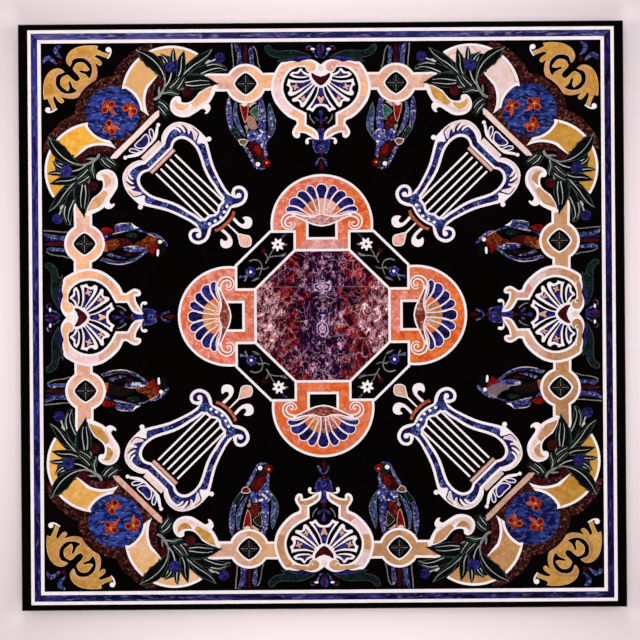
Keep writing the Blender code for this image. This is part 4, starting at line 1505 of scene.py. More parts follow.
def stone_pattern():
    """Colour = ground, mixed with cloud where a broad noise is high, with vein where a bent noise is close to
    its middle value, and with fleck where a fine noise is very high; the tone shifts the noises and the value."""
    group = bpy.data.node_groups.new("stone_pattern", "ShaderNodeTree")
    face = group.interface
    for name, kind, value in PATTERN_INPUTS:
        socket = face.new_socket(name, in_out="INPUT", socket_type="NodeSocket" + kind)
        socket.default_value = value
    for name, kind in (("Color", "Color"), ("Roughness", "Float"), ("Height", "Float")):
        face.new_socket(name, in_out="OUTPUT", socket_type="NodeSocket" + kind)
    inside, out = group.nodes.new("NodeGroupInput").outputs, group.nodes.new("NodeGroupOutput").inputs
    place = group.nodes.new("ShaderNodeTexCoord").outputs["Object"]
    tone_node = group.nodes.new("ShaderNodeAttribute")
    tone_node.attribute_name = "tone"
    tone = Number(group, tone_node.outputs["Fac"])
    away = joined(group, *(tone * shift for shift in TONE_SHIFT))
    where = vector_node(group, "MULTIPLY_ADD", place, inside["Stretch"], away)[0]
    broad = noise(group, where, inside["Cloud Scale"], 5, 0.6, 0.6)
    cloud = clamped(maths(group, "MULTIPLY_ADD", broad - 0.5, inside["Cloud Sharpness"], 0.5))
    bent = noise(group, where, inside["Vein Scale"], 4, 0.5, 1.4)
    near = abs(bent - 0.5) / inside["Vein Width"]
    vein = clamped(1.0 - near) * inside["Vein Amount"]
    fine = noise(group, where, inside["Fleck Scale"], 3, 0.6)
    fleck = clamped(clamped(fine - FLECK_FROM) * FLECK_RISE) * inside["Fleck Amount"]
    colour = mixed(group, cloud, inside["Ground"], inside["Cloud"])
    colour = mixed(group, vein, colour, inside["Vein"])
    colour = mixed(group, fleck, colour, inside["Fleck"])
    # the tone's swing of brightness; its rise toward the top left is partly painted light
    swing = maths(group, "MULTIPLY_ADD", tone - 0.5, inside["Tone Swing"], 1.0)
    dust = noise(group, place, DUST_SCALE, 2, 0.7)
    swing = swing + (dust - 0.5) * inside["Grain"]
    grey = group.nodes.new("ShaderNodeCombineColor")
    for socket in grey.inputs[:3]:
        wire(group, swing, socket)
    scuff = noise(group, place, SCUFF_SCALE, 3, 0.6)
    wire(group, mixed(group, 1.0, colour, grey.outputs[0], "MULTIPLY"), out["Color"])
    wire(group, scuff * SCUFF_ROUGHNESS + inside["Polish"], out["Roughness"])
    wire(group, cloud * CLOUD_HEIGHT + scuff, out["Height"])
    return group


PATTERN = stone_pattern()
STONES = {}
LIGHT = 0.85  # colours read off a polished face are paler than the stone, so all but the black are dimmed


def marble(name, ground, cloud=None, vein=None, fleck=None, light=LIGHT, **sizes):
    """A polished marble: the pattern group with its colours and sizes, under a clear polish."""
    material, tree, shader = blank(name)
    group = tree.nodes.new("ShaderNodeGroup")
    group.node_tree = PATTERN
    for socket, value in zip(("Ground", "Cloud", "Vein", "Fleck"), (ground, cloud, vein, fleck)):
        r, g, b, _ = tint(*(value or ground))
        group.inputs[socket].default_value = (r * light, g * light, b * light, 1)
    for key, value in sizes.items():
        group.inputs[key.replace("_", " ").title()].default_value = value
    bump = tree.nodes.new("ShaderNodeBump")
    wire(tree, 0.12, bump.inputs["Strength"])
    wire(tree, 0.00004, bump.inputs["Distance"])
    wire(tree, 0.4, shader.inputs["Specular IOR Level"])
    wire(tree, group.outputs["Color"], shader.inputs["Base Color"])
    wire(tree, group.outputs["Roughness"], shader.inputs["Roughness"])
    wire(tree, group.outputs["Height"], bump.inputs["Height"])
    wire(tree, bump.outputs["Normal"], shader.inputs["Normal"])
    STONES[name] = material


print("inputs of the pattern:", len(PATTERN_INPUTS))

# %% [markdown]
# ## The broken stone of the middle
# The middle is one sheet of violet breccia, sawn through and opened like a book, so that the two halves mirror
# each other across a joint. A picture of the stone would tie the part to one photograph, so the colours are
# reckoned: how far a place is from the joint says which of three stones lies there, and noise breaks it up.

# %% The broken stone of the middle
def breccia_pattern():
    """A sheet and its mirror image on both sides of the axis. How far out a point lies, shifted by noise and by a
    chance number for every broken fragment, says whether the stone is violet, red or pale there. Each of the
    three has a dark, a middle and a light colour, and a fine noise deals them out. Rings round two eyes, pale
    cracks between fragments, the axis and a joint go over that."""
    group = bpy.data.node_groups.new("breccia_pattern", "ShaderNodeTree")
    group.interface.new_socket("Color", in_out="OUTPUT", socket_type="NodeSocketColor")
    out = group.nodes.new("NodeGroupOutput").inputs
    x, y, _ = parted(group, group.nodes.new("ShaderNodeTexCoord").outputs["Object"])
    side = abs(x)
    where = joined(group, side, y, x * 0.25)
    strong = group.nodes.new("ShaderNodeTexNoise")
    for name, value in (("Vector", where), ("Scale", 60.0), ("Detail", 4.0)):
        wire(group, value, strong.inputs[name])
    bent = vector_node(group, "MULTIPLY_ADD", strong.outputs["Color"], (0.026, 0.026, 0.026), where)[0]
    flow = vector_node(group, "MULTIPLY", where, (1.0, 0.62, 1.0))[0]

    def past(limit, value, soft):
        """0 below the limit, 1 above it, with a border of the given width."""
        return clamped((value - limit) / soft)

    def within(value, width):
        """1 where the value is zero, falling to 0 where it is the width or more."""
        return clamped(1.0 - value / width)

    def cells(feature, scale, result):
        """Angular fragments of the given number in a metre."""
        node = group.nodes.new("ShaderNodeTexVoronoi")
        node.feature = feature
        wire(group, scale, node.inputs["Scale"])
        wire(group, bent, node.inputs["Vector"])
        return node.outputs[result]

    def web(scale, width):
        """Thin curled lines: where a bent noise is close to its middle value."""
        return within(abs(noise(group, flow, scale, 4, 0.6, 1.4) - 0.5), width)

    chance = group.nodes.new("ShaderNodeSeparateColor")
    wire(group, cells("F1", 90.0, "Color"), chance.inputs[0])
    fragment, other = (Number(group, chance.outputs[i]) for i in (0, 1))
    bend = noise(group, where, 24.0, 4, 0.65) - 0.5
    patch = noise(group, where, 46.0, 4, 0.7, 0.6) - 0.5
    outward = side + (bend * 0.10 + (fragment - 0.5) * 0.036)
    inner = past(0.027, outward, 0.012)
    ends = side + bend * 0.05 - abs(y + 0.004) * 0.42
    outer = past(0.066, ends, 0.002)
    shades = []
    for violet, red, pale in ((tint(12, 0, 12), tint(28, 0, 6), tint(56, 4, 12)),
                              (tint(50, 6, 52), tint(104, 2, 12), tint(132, 64, 74)),
                              (tint(208, 160, 188), tint(186, 96, 104), tint(254, 222, 230))):
        shades.append(mixed(group, outer, mixed(group, inner, violet, red), pale))
    dark, middle, light = shades
    patchy = mixed(group, outer, tint(44, 8, 46), tint(176, 118, 124))
    middle = mixed(group, past(0.62, other, 0.1), middle, patchy)
    tan = clamped(past(0.60, noise(group, where, 52.0, 3, 0.6), 0.05) * past(0.045, outward, 0.01))
    middle = mixed(group, tan * 0.6, middle, tint(150, 92, 66))
    # the two eyes, and the rings round them
    eyes = []
    for low, wide, tall, reach in ((0.055, 1.0, 1.25, 0.019), (-0.018, 1.45, 0.9, 0.021)):
        away = (y + -low + bend * 0.05) * tall
        far = maths(group, "SQRT", (side * wide) ** 2.0 + away ** 2.0) + patch * 0.016
        ring = maths(group, "SINE", far * 960.0)
        near = clamped(1.0 - past(reach - 0.003, far, 0.003))
        banded = mixed(group, past(0.009, far, 0.002), tint(146, 104, 132), tint(38, 10, 72))
        banded = mixed(group, past(0.5, ring, 0.3), banded, tint(212, 182, 202))
        eyes.append((near * 0.8, banded))
    # pale cracks, the healed axis, the joint and the seam
    crack = within(Number(group, cells("DISTANCE_TO_EDGE", 42.0, "Distance")), 0.04)
    crack = crack * past(0.48, noise(group, where, 34.0, 2), 0.10)
    broken = noise(group, where, 90.0, 3, 0.7)
    axis = clamped(1.0 - past(0.0005, side, 0.0012)) * past(0.5, broken, 0.1)
    joint = clamped(1.0 - past(0.0003, abs(y - 0.052), 0.0005))
    line = larger(crack * 0.6, larger(axis * 0.9, joint * 0.25))
    seam = within(abs(ends - 0.0655), 0.0014)
    # the fine noise that deals out dark, middle and light
    dots = noise(group, flow, 140.0, 3, 0.7, 0.8) + patch * 0.7
    colour = mixed(group, past(0.48, 1.0 - dots, 0.06), middle, dark)
    colour = mixed(group, larger(web(34.0, 0.010) * 0.75, past(0.60, dots, 0.10)), colour, light)
    for near, banded in eyes:
        colour = mixed(group, near, colour, banded)
    colour = mixed(group, seam * 0.7, colour, tint(58, 6, 16))
    wire(group, mixed(group, line, colour, tint(204, 160, 172)), out["Color"])
    return group


def breccia():
    """The sawn sheet in the middle of the tile, with the pattern group made for it alone."""
    material, tree, shader = blank("breccia")
    group = tree.nodes.new("ShaderNodeGroup")
    group.node_tree = breccia_pattern()
    wire(tree, group.outputs["Color"], shader.inputs["Base Color"])
    wire(tree, 0.2, shader.inputs["Roughness"])
    wire(tree, 0.4, shader.inputs["Specular IOR Level"])
    return material


STONES["breccia"] = breccia()
print("steps in the breccia's pattern:", len(bpy.data.node_groups["breccia_pattern"].nodes))

# %% [markdown]
# ## The marbles
# Each kind is named for its colour or its use, with the colours of its ground, clouds, veins and flecks as they
# look on the real tile. The blue stones share one set of sizes, those of the border a second, and the orange
# and pink ones a third.

# %% The marbles
marble("black_marble", (5, 2, 3), (3, 1, 1), (20, 14, 18), cloud_scale=9.0, vein_amount=0.25,
    vein_width=0.006, polish=0.1, grain=0.0, tone_swing=0.0, light=1.0)
STONES["ground"] = STONES["black_marble"]
LAPIS = dict(cloud_sharpness=10.0, vein_amount=0.75, vein_width=0.06, tone_swing=0.7, grain=0.5)
BORDER = dict(LAPIS, vein_scale=30.0, fleck_scale=170.0)
WARM = dict(cloud_sharpness=8.0, fleck_scale=150.0, grain=0.3, tone_swing=0.3)
marble("white_marble", (250, 240, 242), (244, 228, 231), (226, 208, 214), cloud_scale=22.0, vein_amount=0.3,
    grain=0.05, tone_swing=0.06)
marble("border_lapis", (44, 38, 106), (10, 4, 46), (6, 1, 30), (128, 124, 178), cloud_scale=48.0,
    fleck_amount=0.5, stretch=(0.3, 1.3, 1.0), **BORDER)
marble("border_pale", (72, 68, 124), (34, 30, 86), (18, 12, 56), (146, 140, 180), cloud_scale=44.0,
    fleck_amount=0.5, stretch=(0.3, 1.3, 1.0), **BORDER)
marble("border_left", (44, 42, 116), (20, 16, 74), (10, 5, 44), (112, 112, 170), cloud_scale=44.0,
    fleck_amount=0.4, stretch=(1.3, 0.3, 1.0), **BORDER)
marble("border_upright", (30, 22, 84), (10, 4, 46), (6, 1, 30), (96, 92, 150), cloud_scale=44.0,
    fleck_amount=0.4, stretch=(1.3, 0.3, 1.0), **BORDER)
marble("lapis", (48, 42, 128), (20, 10, 68), (10, 4, 44), (92, 90, 170), cloud_scale=75.0, vein_scale=50.0,
    fleck_scale=260.0, fleck_amount=0.45, **LAPIS)
marble("lapis_dark", (34, 26, 92), (12, 5, 46), (6, 2, 28), (70, 64, 138), cloud_scale=75.0,
    vein_scale=50.0, fleck_scale=260.0, fleck_amount=0.4, **LAPIS)
marble("lapis_flecked", (56, 70, 142), (16, 18, 74), (12, 10, 56), (160, 166, 212), cloud_scale=70.0,
    vein_scale=44.0, fleck_scale=230.0, fleck_amount=0.75, **LAPIS)
marble("disc_lapis", (44, 62, 140), (12, 16, 76), (6, 6, 36), (122, 130, 188), cloud_scale=66.0,
    vein_scale=36.0, fleck_scale=200.0, fleck_amount=0.5, stretch=(0.7, 1.3, 1.0), **LAPIS)
marble("berry_lapis", (42, 38, 108), (16, 10, 60), (14, 8, 50), (88, 86, 164), cloud_scale=120.0,
    vein_scale=80.0, fleck_scale=260.0, fleck_amount=0.4, **LAPIS)
marble("wine_breccia", (62, 9, 15), (34, 4, 8), (14, 2, 3), (160, 112, 104), cloud_scale=80.0,
    cloud_sharpness=6.0, vein_scale=60.0, vein_amount=0.5, vein_width=0.05, fleck_scale=230.0,
    fleck_amount=0.35, grain=0.3, tone_swing=0.3)
marble("tortoise_breccia", (60, 17, 14), (22, 4, 6), (9, 2, 2), (160, 100, 80), cloud_scale=105.0,
    cloud_sharpness=8.0, vein_scale=60.0, vein_amount=0.6, vein_width=0.05, fleck_scale=230.0,
    fleck_amount=0.55, grain=0.4, tone_swing=0.3)
marble("orange_marble", (222, 98, 34), (224, 120, 84), (190, 70, 20), (246, 160, 128), cloud_scale=44.0,
    vein_scale=24.0, vein_amount=0.5, vein_width=0.06, fleck_amount=0.6, **WARM)
marble("flame_marble", (208, 80, 26), (232, 118, 54), (172, 54, 16), (242, 154, 116), cloud_scale=46.0,
    vein_scale=24.0, vein_amount=0.5, vein_width=0.06, fleck_amount=0.5, **WARM)
marble("salmon_marble", (214, 100, 66), (228, 138, 124), (190, 74, 34), (246, 186, 172), cloud_scale=44.0,
    vein_scale=26.0, vein_amount=0.55, vein_width=0.05, fleck_amount=0.65, **WARM)
marble("pink_veined", (206, 132, 124), (222, 160, 156), (186, 92, 62), (244, 206, 202), cloud_scale=48.0,
    vein_scale=28.0, vein_amount=0.7, vein_width=0.05, fleck_amount=0.65, **WARM)
marble("bird_flecked", (80, 84, 148), (24, 20, 80), (10, 6, 46), (240, 234, 248), cloud_scale=130.0,
    cloud_sharpness=10.0, vein_scale=60.0, vein_amount=0.5, vein_width=0.05, fleck_scale=150.0,
    fleck_amount=0.95, grain=0.3, tone_swing=0.5)
marble("horn_pink", (230, 204, 202), (220, 186, 180), (206, 152, 84), (246, 224, 222), cloud_scale=36.0,
    cloud_sharpness=5.0, vein_scale=13.0, vein_amount=0.8, vein_width=0.05, fleck_scale=200.0,
    fleck_amount=0.4, tone_swing=0.3)
marble("lens_marble", (168, 92, 76), (112, 40, 28), (84, 22, 14), (214, 158, 148), cloud_scale=60.0,
    cloud_sharpness=10.0, vein_scale=60.0, vein_amount=0.6, vein_width=0.06, fleck_scale=170.0,
    fleck_amount=0.9, grain=0.4, tone_swing=0.4)
print("marbles with settings of their own:", len(STONES))

# %% [markdown]
# ## Plainer marbles
# The other stones differ by colour more than by pattern. The table gives their ground, their clouds and veins, and
# their flecks. Feathers have the sharpest pattern, mottled stones a lively one, and the rest are calm.

# %% Marbles with shared settings
SIMPLE = {
    "bird_blue": ((58, 66, 132), (18, 22, 72), (182, 182, 214)),
    "volute_marble": ((206, 138, 92), (170, 92, 54), (236, 182, 140)),
    "lilac_stone": ((80, 78, 132), (30, 28, 72), (168, 164, 198)),
    "mauve_stone": ((64, 54, 98), (38, 28, 66), (110, 98, 140)),
    "mauve_pale": ((130, 122, 160), (84, 76, 122), (180, 174, 200)),
    "cream_marble": ((240, 214, 210), (226, 188, 182), (252, 238, 234)),
    "peach_marble": ((226, 176, 154), (208, 148, 118), (246, 208, 192)),
    "rose_marble": ((222, 176, 158), (204, 148, 122), (244, 206, 194)),
    "pink_marble": ((236, 190, 170), (214, 148, 130), (248, 210, 200)),
    "ochre_marble": ((216, 164, 124), (196, 140, 94), (238, 198, 170)),
    "lens_pale": ((208, 152, 150), (160, 96, 92), (242, 214, 214)),
    "shell_gold": ((222, 156, 98), (190, 112, 62), (242, 198, 154)),
    "blush_marble": ((240, 206, 206), (226, 180, 184), (252, 232, 234)),
    "apricot_marble": ((238, 184, 146), (226, 162, 116), (248, 212, 186)),
    "sand_marble": ((200, 148, 108), (180, 124, 80), (226, 184, 152)),
    "gold_marble": ((208, 156, 80), (180, 122, 46), (234, 188, 128)),
    "gold_pale": ((226, 184, 130), (212, 164, 104), (240, 206, 164)),
    "gold_rose": ((206, 152, 106), (186, 124, 72), (228, 184, 148)),
    "leaf_edge": ((96, 108, 100), (52, 66, 58), (140, 148, 140)),
    "horn_marble": ((226, 170, 92), (208, 148, 66), (242, 206, 158)),
    "horn_gold": ((230, 168, 62), (214, 148, 42), (238, 198, 130)),
    "horn_sand": ((218, 166, 94), (210, 152, 112), (230, 192, 150)),
    "horn_rose": ((228, 180, 146), (220, 164, 104), (244, 210, 190)),
    "horn_pale": ((200, 148, 98), (178, 122, 74), (226, 186, 150)),
    "horn_ochre": ((206, 150, 66), (186, 128, 46), (228, 184, 116)),
    "bar_marble": ((242, 214, 206), (226, 188, 178), (252, 236, 230)),
    "rust_marble": ((186, 96, 66), (150, 62, 40), (218, 146, 118)),
    "amber_jasper": ((122, 46, 16), (70, 16, 8), (158, 100, 46)),
    "rust_deep": ((96, 20, 16), (56, 5, 5), (140, 66, 52)),
    "tail_marble": ((226, 168, 156), (206, 136, 120), (244, 204, 196)),
    "pale_marble": ((240, 216, 208), (222, 190, 180), (250, 236, 232)),
    "red_jasper": ((68, 9, 13), (34, 3, 5), (108, 34, 38)),
    "dark_jasper": ((24, 11, 12), (14, 6, 7), (52, 26, 24)),
    "repair_grey": ((118, 98, 110), (106, 87, 99), (134, 114, 124)),
    "back_tan": ((166, 120, 108), (146, 100, 88), (190, 150, 136)),
    "shoulder_grey": ((122, 86, 82), (96, 62, 58), (154, 120, 112)),
    "heart_dark": ((44, 34, 30), (24, 18, 16), (84, 70, 62)),
    "red_bright": ((128, 14, 12), (78, 3, 3), (176, 52, 44)),
    "berry_red": ((62, 10, 16), (32, 3, 7), (100, 40, 44)),
    "dark_leaf": ((8, 9, 9), (3, 3, 4), (24, 32, 30)),
    "grey_leaf": ((54, 64, 62), (32, 42, 42), (92, 102, 98)),
    "leaf_stone": ((44, 50, 44), (26, 32, 30), (80, 88, 80)),
    "stem_stone": ((142, 134, 128), (110, 102, 98), (182, 174, 168)),
    "teal_stone": ((14, 32, 32), (6, 13, 15), (38, 66, 62)),
    "green_deep": ((15, 36, 28), (6, 14, 12), (40, 70, 56)),
    "green_stone": ((26, 54, 46), (12, 28, 26), (56, 96, 84)),
    "heart_green": ((46, 98, 82), (24, 60, 54), (92, 134, 118)),
    "grey_stone": ((140, 138, 134), (106, 104, 102), (182, 178, 174)),
    "midrib_stone": ((196, 198, 194), (160, 164, 160), (228, 226, 224)),
    "orange_jasper": ((206, 88, 38), (160, 54, 24), (234, 146, 88)),
    "wing_teal": ((46, 68, 80), (20, 38, 44), (124, 126, 146)),
    "wing_patch": ((66, 70, 130), (30, 30, 76), (156, 150, 182)),
    "feather_grey": ((112, 110, 134), (66, 66, 92), (184, 180, 196)),
    "feather_lilac": ((92, 90, 146), (26, 22, 74), (214, 206, 232)),
    "bird_mottled": ((72, 92, 148), (28, 38, 86), (184, 186, 210)),
    "violet_lapis": ((58, 58, 146), (22, 20, 84), (150, 146, 200)),
}
CALM = dict(cloud_scale=60.0, cloud_sharpness=4.0, vein_amount=0.35, fleck_scale=200.0, fleck_amount=0.4,
    tone_swing=0.5)
LIVELY = dict(cloud_scale=110.0, cloud_sharpness=9.0, vein_scale=70.0, vein_amount=0.7, vein_width=0.07,
    fleck_scale=210.0, fleck_amount=0.9, grain=0.5, tone_swing=0.5)
FEATHER = dict(LIVELY, cloud_scale=140.0, cloud_sharpness=11.0, fleck_scale=250.0)
FEATHERS = ("bird_blue", "feather_lilac", "bird_mottled", "violet_lapis", "wing_teal")
MOTTLED = ("lilac_stone", "mauve_stone", "mauve_pale", "heart_green", "wing_patch", "feather_grey",
    "amber_jasper", "rust_deep", "green_deep", "lens_pale")
for name, (ground, cloud, fleck) in SIMPLE.items():
    sizes = FEATHER if name in FEATHERS else LIVELY if name in MOTTLED else CALM
    marble(name, ground, cloud, cloud, fleck, **sizes)
print("marbles:", len(STONES))

# %% [markdown]
# ## Stones with thickness
# The stones are about four millimetres thick. Each triangle of a stone gives one of its top and one, turned
# over, of its underside, and each rim edge a wall of two more.

# %% Building a motif
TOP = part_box("black_slab")[1][2]
UNDERSIDE = 0.0263  # m: the stones end a hair above the bed, which is mortar


def mesh_object(name, vertices, triangles, kinds, stones, tones):
    """A flat-shaded object: kinds says which of the stones each triangle is, and tones its tone."""
    mesh = bpy.data.meshes.new(name)
    mesh.vertices.add(len(vertices))
    mesh.vertices.foreach_set("co", np.ascontiguousarray(vertices, dtype=np.float32).ravel())
    mesh.loops.add(len(triangles) * 3)
    mesh.loops.foreach_set("vertex_index", np.ascontiguousarray(triangles, dtype=np.int32).ravel())
    mesh.polygons.add(len(triangles))
    mesh.polygons.foreach_set("loop_start", np.arange(len(triangles), dtype=np.int32) * 3)
    mesh.polygons.foreach_set("material_index", kinds.astype(np.int32))
    mesh.polygons.foreach_set("use_smooth", np.zeros(len(triangles), bool))
    mesh.attributes.new("tone", "FLOAT", "FACE").data.foreach_set("value", tones.astype(np.float32))
    mesh.update(calc_edges=True)
    for kind in stones:
        mesh.materials.append(STONES[kind])
    piece = bpy.data.objects.new(name, mesh)
    bpy.context.scene.collection.objects.link(piece)
    return piece


print("top of the tile:", TOP)

# %% [markdown]
# ## Stones that differ from corner to corner
# The drawing is symmetrical, but the stones aren't: whoever laid them took what was at hand. The table gives the
# stone at the top right, top left, bottom right and bottom left, for each stone that is chosen by its corner. The
# border's blue is paler at the top and left and darker at the bottom and right, partly as painted light.

# %% Choice of stones
CHOICE = {
    # the border's blue is paler at the top and left and darker at the bottom and right: partly other stones, partly
    # painted light
    "border_lapis": "border_pale border_pale border_lapis border_lapis",
    "border_upright": "border_upright border_left border_upright border_left",
    "horn_marble corner_side": "horn_ochre horn_gold horn_ochre horn_marble",
    "horn_marble corner_end": "horn_pink horn_sand horn_pale horn_rose",
    "back_amber east": "amber_jasper amber_jasper dark_jasper dark_jasper",
    "back_red east": "red_jasper red_jasper dark_jasper dark_jasper",
    "breast_amber east": "amber_jasper amber_jasper repair_grey amber_jasper",
    "back_rust north": "rust_deep back_tan rust_deep rust_deep",
    "shoulder_rust north": "shoulder_grey shoulder_grey shoulder_grey rust_deep",
    "heart_green north": "heart_green heart_green heart_dark heart_dark",
    "shell_core north": "pink_marble volute_marble lens_marble volute_marble",
    "shell_core east": "volute_marble shell_gold volute_marble shell_gold",
    "lens_marble north": "lens_pale lens_pale lens_marble lens_marble",
    "bar_marble corner": "bar_marble cream_marble rose_marble pink_marble",
    "band_top north": "pink_marble pink_marble blush_marble sand_marble",
    "band_top east": "sand_marble apricot_marble sand_marble blush_marble",
    "band_side north": "apricot_marble blush_marble sand_marble sand_marble",
    "band_side east": "rose_marble apricot_marble sand_marble blush_marble",
    "band_lower north": "pink_marble apricot_marble tail_marble rose_marble",
    "band_lower east": "tail_marble apricot_marble peach_marble rose_marble",
    "band_foot north": "peach_marble apricot_marble sand_marble sand_marble",
    "band_foot east": "ochre_marble peach_marble ochre_marble peach_marble",
    "band_rest north": "pink_marble blush_marble blush_marble rose_marble",
    "band_rest east": "blush_marble peach_marble rose_marble rose_marble",
    "link_inner north": "peach_marble apricot_marble sand_marble ochre_marble",
    "link_inner east": "ochre_marble apricot_marble sand_marble peach_marble",
    "link_outer north": "rose_marble pink_marble sand_marble rose_marble",
    "link_outer east": "ochre_marble pink_marble sand_marble peach_marble",
    "wedge_marble north": "gold_marble apricot_marble sand_marble gold_marble",
    "wedge_marble east": "sand_marble ochre_marble sand_marble gold_marble",
    "volute_cream north": "tail_marble apricot_marble ochre_marble sand_marble",
    "volute_cream east": "sand_marble apricot_marble sand_marble apricot_marble",
    "lobe_top north": "salmon_marble salmon_marble orange_marble orange_marble",
    "lobe_top east": "flame_marble salmon_marble flame_marble salmon_marble",
    "lobe_side north": "flame_marble salmon_marble orange_marble orange_marble",
    "lobe_side east": "orange_marble salmon_marble flame_marble salmon_marble",
    "lobe_post north": "salmon_marble orange_marble orange_marble orange_marble",
    "lobe_post east": "salmon_marble salmon_marble flame_marble salmon_marble",
    "lobe_bar north": "pink_veined pink_veined orange_marble orange_marble",
    "lobe_bar east": "salmon_marble salmon_marble salmon_marble salmon_marble",
}


def stone_of(label):
    """The stone of one label: its own, unless the table has another for its corner."""
    place, stone = REGIONS[label // 4][1:3]
    four = CHOICE.get(f"{stone} {place}".strip())
    return four.split()[label % 4] if four else stone


print("kinds that differ:", len(CHOICE))

# %% [markdown]
# ## Tones
# The real tile is paler toward one corner, partly by its stones and partly by the light that it was seen in. Each
# stone's tone follows that, with as much again by chance.

# %% Tones
TONE_RANGE = 0.36


def tone_with_painted_light():
    """A number for every stone: by chance, and higher toward the top left, partly for paler stones and partly as
    painted light.
    """
    size = len(REGIONS) * 4
    middles = sheet_points[sheet_faces].mean(1) / 1000
    count = np.maximum(np.bincount(sheet_label, minlength=size), 1)
    x, y = (np.bincount(sheet_label, middles[:, axis], minlength=size) / count for axis in (0, 1))
    # the y - x term is the rise toward the top left, partly painted light
    return 0.5 + TONE_RANGE * (np.random.default_rng(7).random(size) - 0.5) + TONE_RANGE * (y - x)


TONE = tone_with_painted_light()
print("tones from", TONE.min().round(2), "to", TONE.max().round(2))

# %% [markdown]
# ## Motifs
# All stones of one motif are joined into one object. Every triangle of the sheet is its top, the same triangle
# turned over is its underside, and two more stand along each edge of its rim.

# %% Building the motifs
label_object = np.array([objects.index(names[label]) for label in labels])
label_spot = np.searchsorted(labels, sheet_label)
rim_spot = np.searchsorted(labels, rim_label)
face_object, rim_object = label_object[label_spot], label_object[rim_spot]
pieces = {}
count = 0
for number, name in enumerate(objects):
    mine, mine_rim = np.flatnonzero(face_object == number), np.flatnonzero(rim_object == number)
    used, tops = np.unique(own_faces[mine], return_inverse=True)
    tops = tops.reshape(-1, 3)
    a, b = (np.searchsorted(used, rim_own[mine_rim, i]) for i in (0, 1))
    n = len(used)
    xy = own_points[used] / 1000
    vertices = np.vstack([np.column_stack([xy, np.full(n, height)]) for height in (TOP, UNDERSIDE)])
    walls = np.vstack([np.stack([a, a + n, b + n], 1), np.stack([a, b + n, b], 1)])
    stone_by_label = {label: stone_of(label) for label in labels[np.unique(label_spot[mine])]}
    stones = sorted(set(stone_by_label.values()))
    kind_of = {label: stones.index(stone) for label, stone in stone_by_label.items()}
    kind = np.array([kind_of[label] for label in sheet_label[mine]])
    wall_kind = np.array([kind_of[label] for label in rim_label[mine_rim]])
    triangles = np.vstack([tops, tops[:, ::-1] + n, walls])
    kinds = np.concatenate([kind, kind, wall_kind, wall_kind])
    tones = np.concatenate([TONE[sheet_label[mine]]] * 2 + [TONE[rim_label[mine_rim]]] * 2)
    own_name = name + "_stones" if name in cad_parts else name
    pieces[name] = mesh_object(own_name, vertices, triangles, kinds, stones, tones)
    count += len(triangles)
print("triangles in all stones:", count, "largest:", max(len(p.data.polygons) for p in pieces.values()))

# %% [markdown]
# ## Slab
# One block of black marble carries everything. Its top has a single shallow bed for the whole pattern, and a
# margin of the block itself stands round it. The polished arris catches a thin line of light, and it isn't
# quite even, because it was taken off by hand.

# %% Slab
ARRIS = 1.3  # mm taken off the edge
THICK, BED, FOOT = 30.0, 26.0, 1.0  # mm up to the top, to the bed's floor and to the end of the lower edge
MARGIN = 24.0  # mm from the field to the wall of the bed


def slab():
    """A profile carried round a rectangle: from the middle of the bed up its wall, across the margin, over the
    arris, down the side and under to the middle of the underside."""
    side = 60
    bed = np.array(FIELD) + MARGIN
    t = np.linspace(-1, 1, side, endpoint=False)
    one = np.ones(side)
    loop = np.vstack([np.stack([one, t], 1), np.stack([-t, one], 1), np.stack([-one, -t], 1),
        np.stack([t, -one], 1)])
    rng = np.random.default_rng(3)
    wear = np.convolve(rng.random(len(loop) + 6), np.ones(7) / 7, "valid") * 0.9 + 0.5
    edge = np.array(SLAB)
    at_edge = np.abs(loop) > 0.999
    rings = [
        (loop * 0, BED), (loop * bed, BED), (loop * bed, THICK),
        (loop * (edge - ARRIS * wear[:, None] * at_edge), THICK), (loop * edge, THICK - ARRIS * wear),
        (loop * edge, FOOT), (loop * (edge - FOOT), 0.0), (loop * 0, 0.0),
    ]
    rows = [np.column_stack([xy, np.broadcast_to(z, len(loop))]) for xy, z in rings]
    vertices = np.vstack([rows[0][:1]] + rows[1:-1] + [rows[-1][:1]]) / 1000
    vertices[:, 2] += TOP - THICK / 1000
    m = len(loop)
    i = np.arange(m)
    j = (i + 1) % m
    parts = [np.stack([np.zeros(m, int), 1 + i, 1 + j], 1)]
    for row in range(len(rings) - 3):
        low, high = 1 + row * m, 1 + (row + 1) * m
        parts += [np.stack([low + i, high + i, high + j], 1), np.stack([low + i, high + j, low + j], 1)]
    last = len(vertices) - 1
    base = 1 + (len(rings) - 3) * m
    parts.append(np.stack([base + i, np.full(m, last), base + j], 1))
    triangles = np.vstack(parts)
    count = len(triangles)
    return mesh_object("slab_block", vertices, triangles, np.zeros(count), ["ground"], np.full(count, 0.5))


block = slab()
print("slab:", len(block.data.polygons), "faces")

# %% [markdown]
# ## What each piece stands for
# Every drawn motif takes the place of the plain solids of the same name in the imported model, and the block and
# the black ground between the stones together take the place of its slab.

# %% Riding and replacing
SLOT = {"lyre": "lapis", "lyre_foot": "white_marble", "palmette": "white_marble",
    "centre_fillet": "white_marble", "centre_octagon": "breccia", "flower_panel": "white_marble",
    "lobe_frame": "orange_marble", "lobe_shell": "lapis", "tail": "bird_stones",
    "side_strap": "peach_marble", "medallion_fan": "lapis", "finial": "lapis", "tulip": "lapis",
    "roundel_leaves": "bird_stones", "corner_bar": "cream_marble", "corner_disc": "lapis",
    "leaf_spray": "bird_stones", "horn": "yellow_marble", "cloud_band": "tortoise_breccia",
    "gold_scroll": "yellow_marble", "blossom": "lapis", "bird": "bird_stones",
    "outer_fillet": "white_marble", "inner_fillet": "white_marble", "lapis_border": "lapis",
    "black_ground": "black_marble"}
for name, piece in pieces.items():
    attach(piece, "root")
    kind = name if name in SLOT else max((k for k in SLOT if name.startswith(k)), key=len)
    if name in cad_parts:
        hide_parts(name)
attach(block, "root")
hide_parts("black_slab")
left_over = [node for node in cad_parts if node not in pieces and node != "black_slab"]
print("nodes with no piece of their own:", left_over)
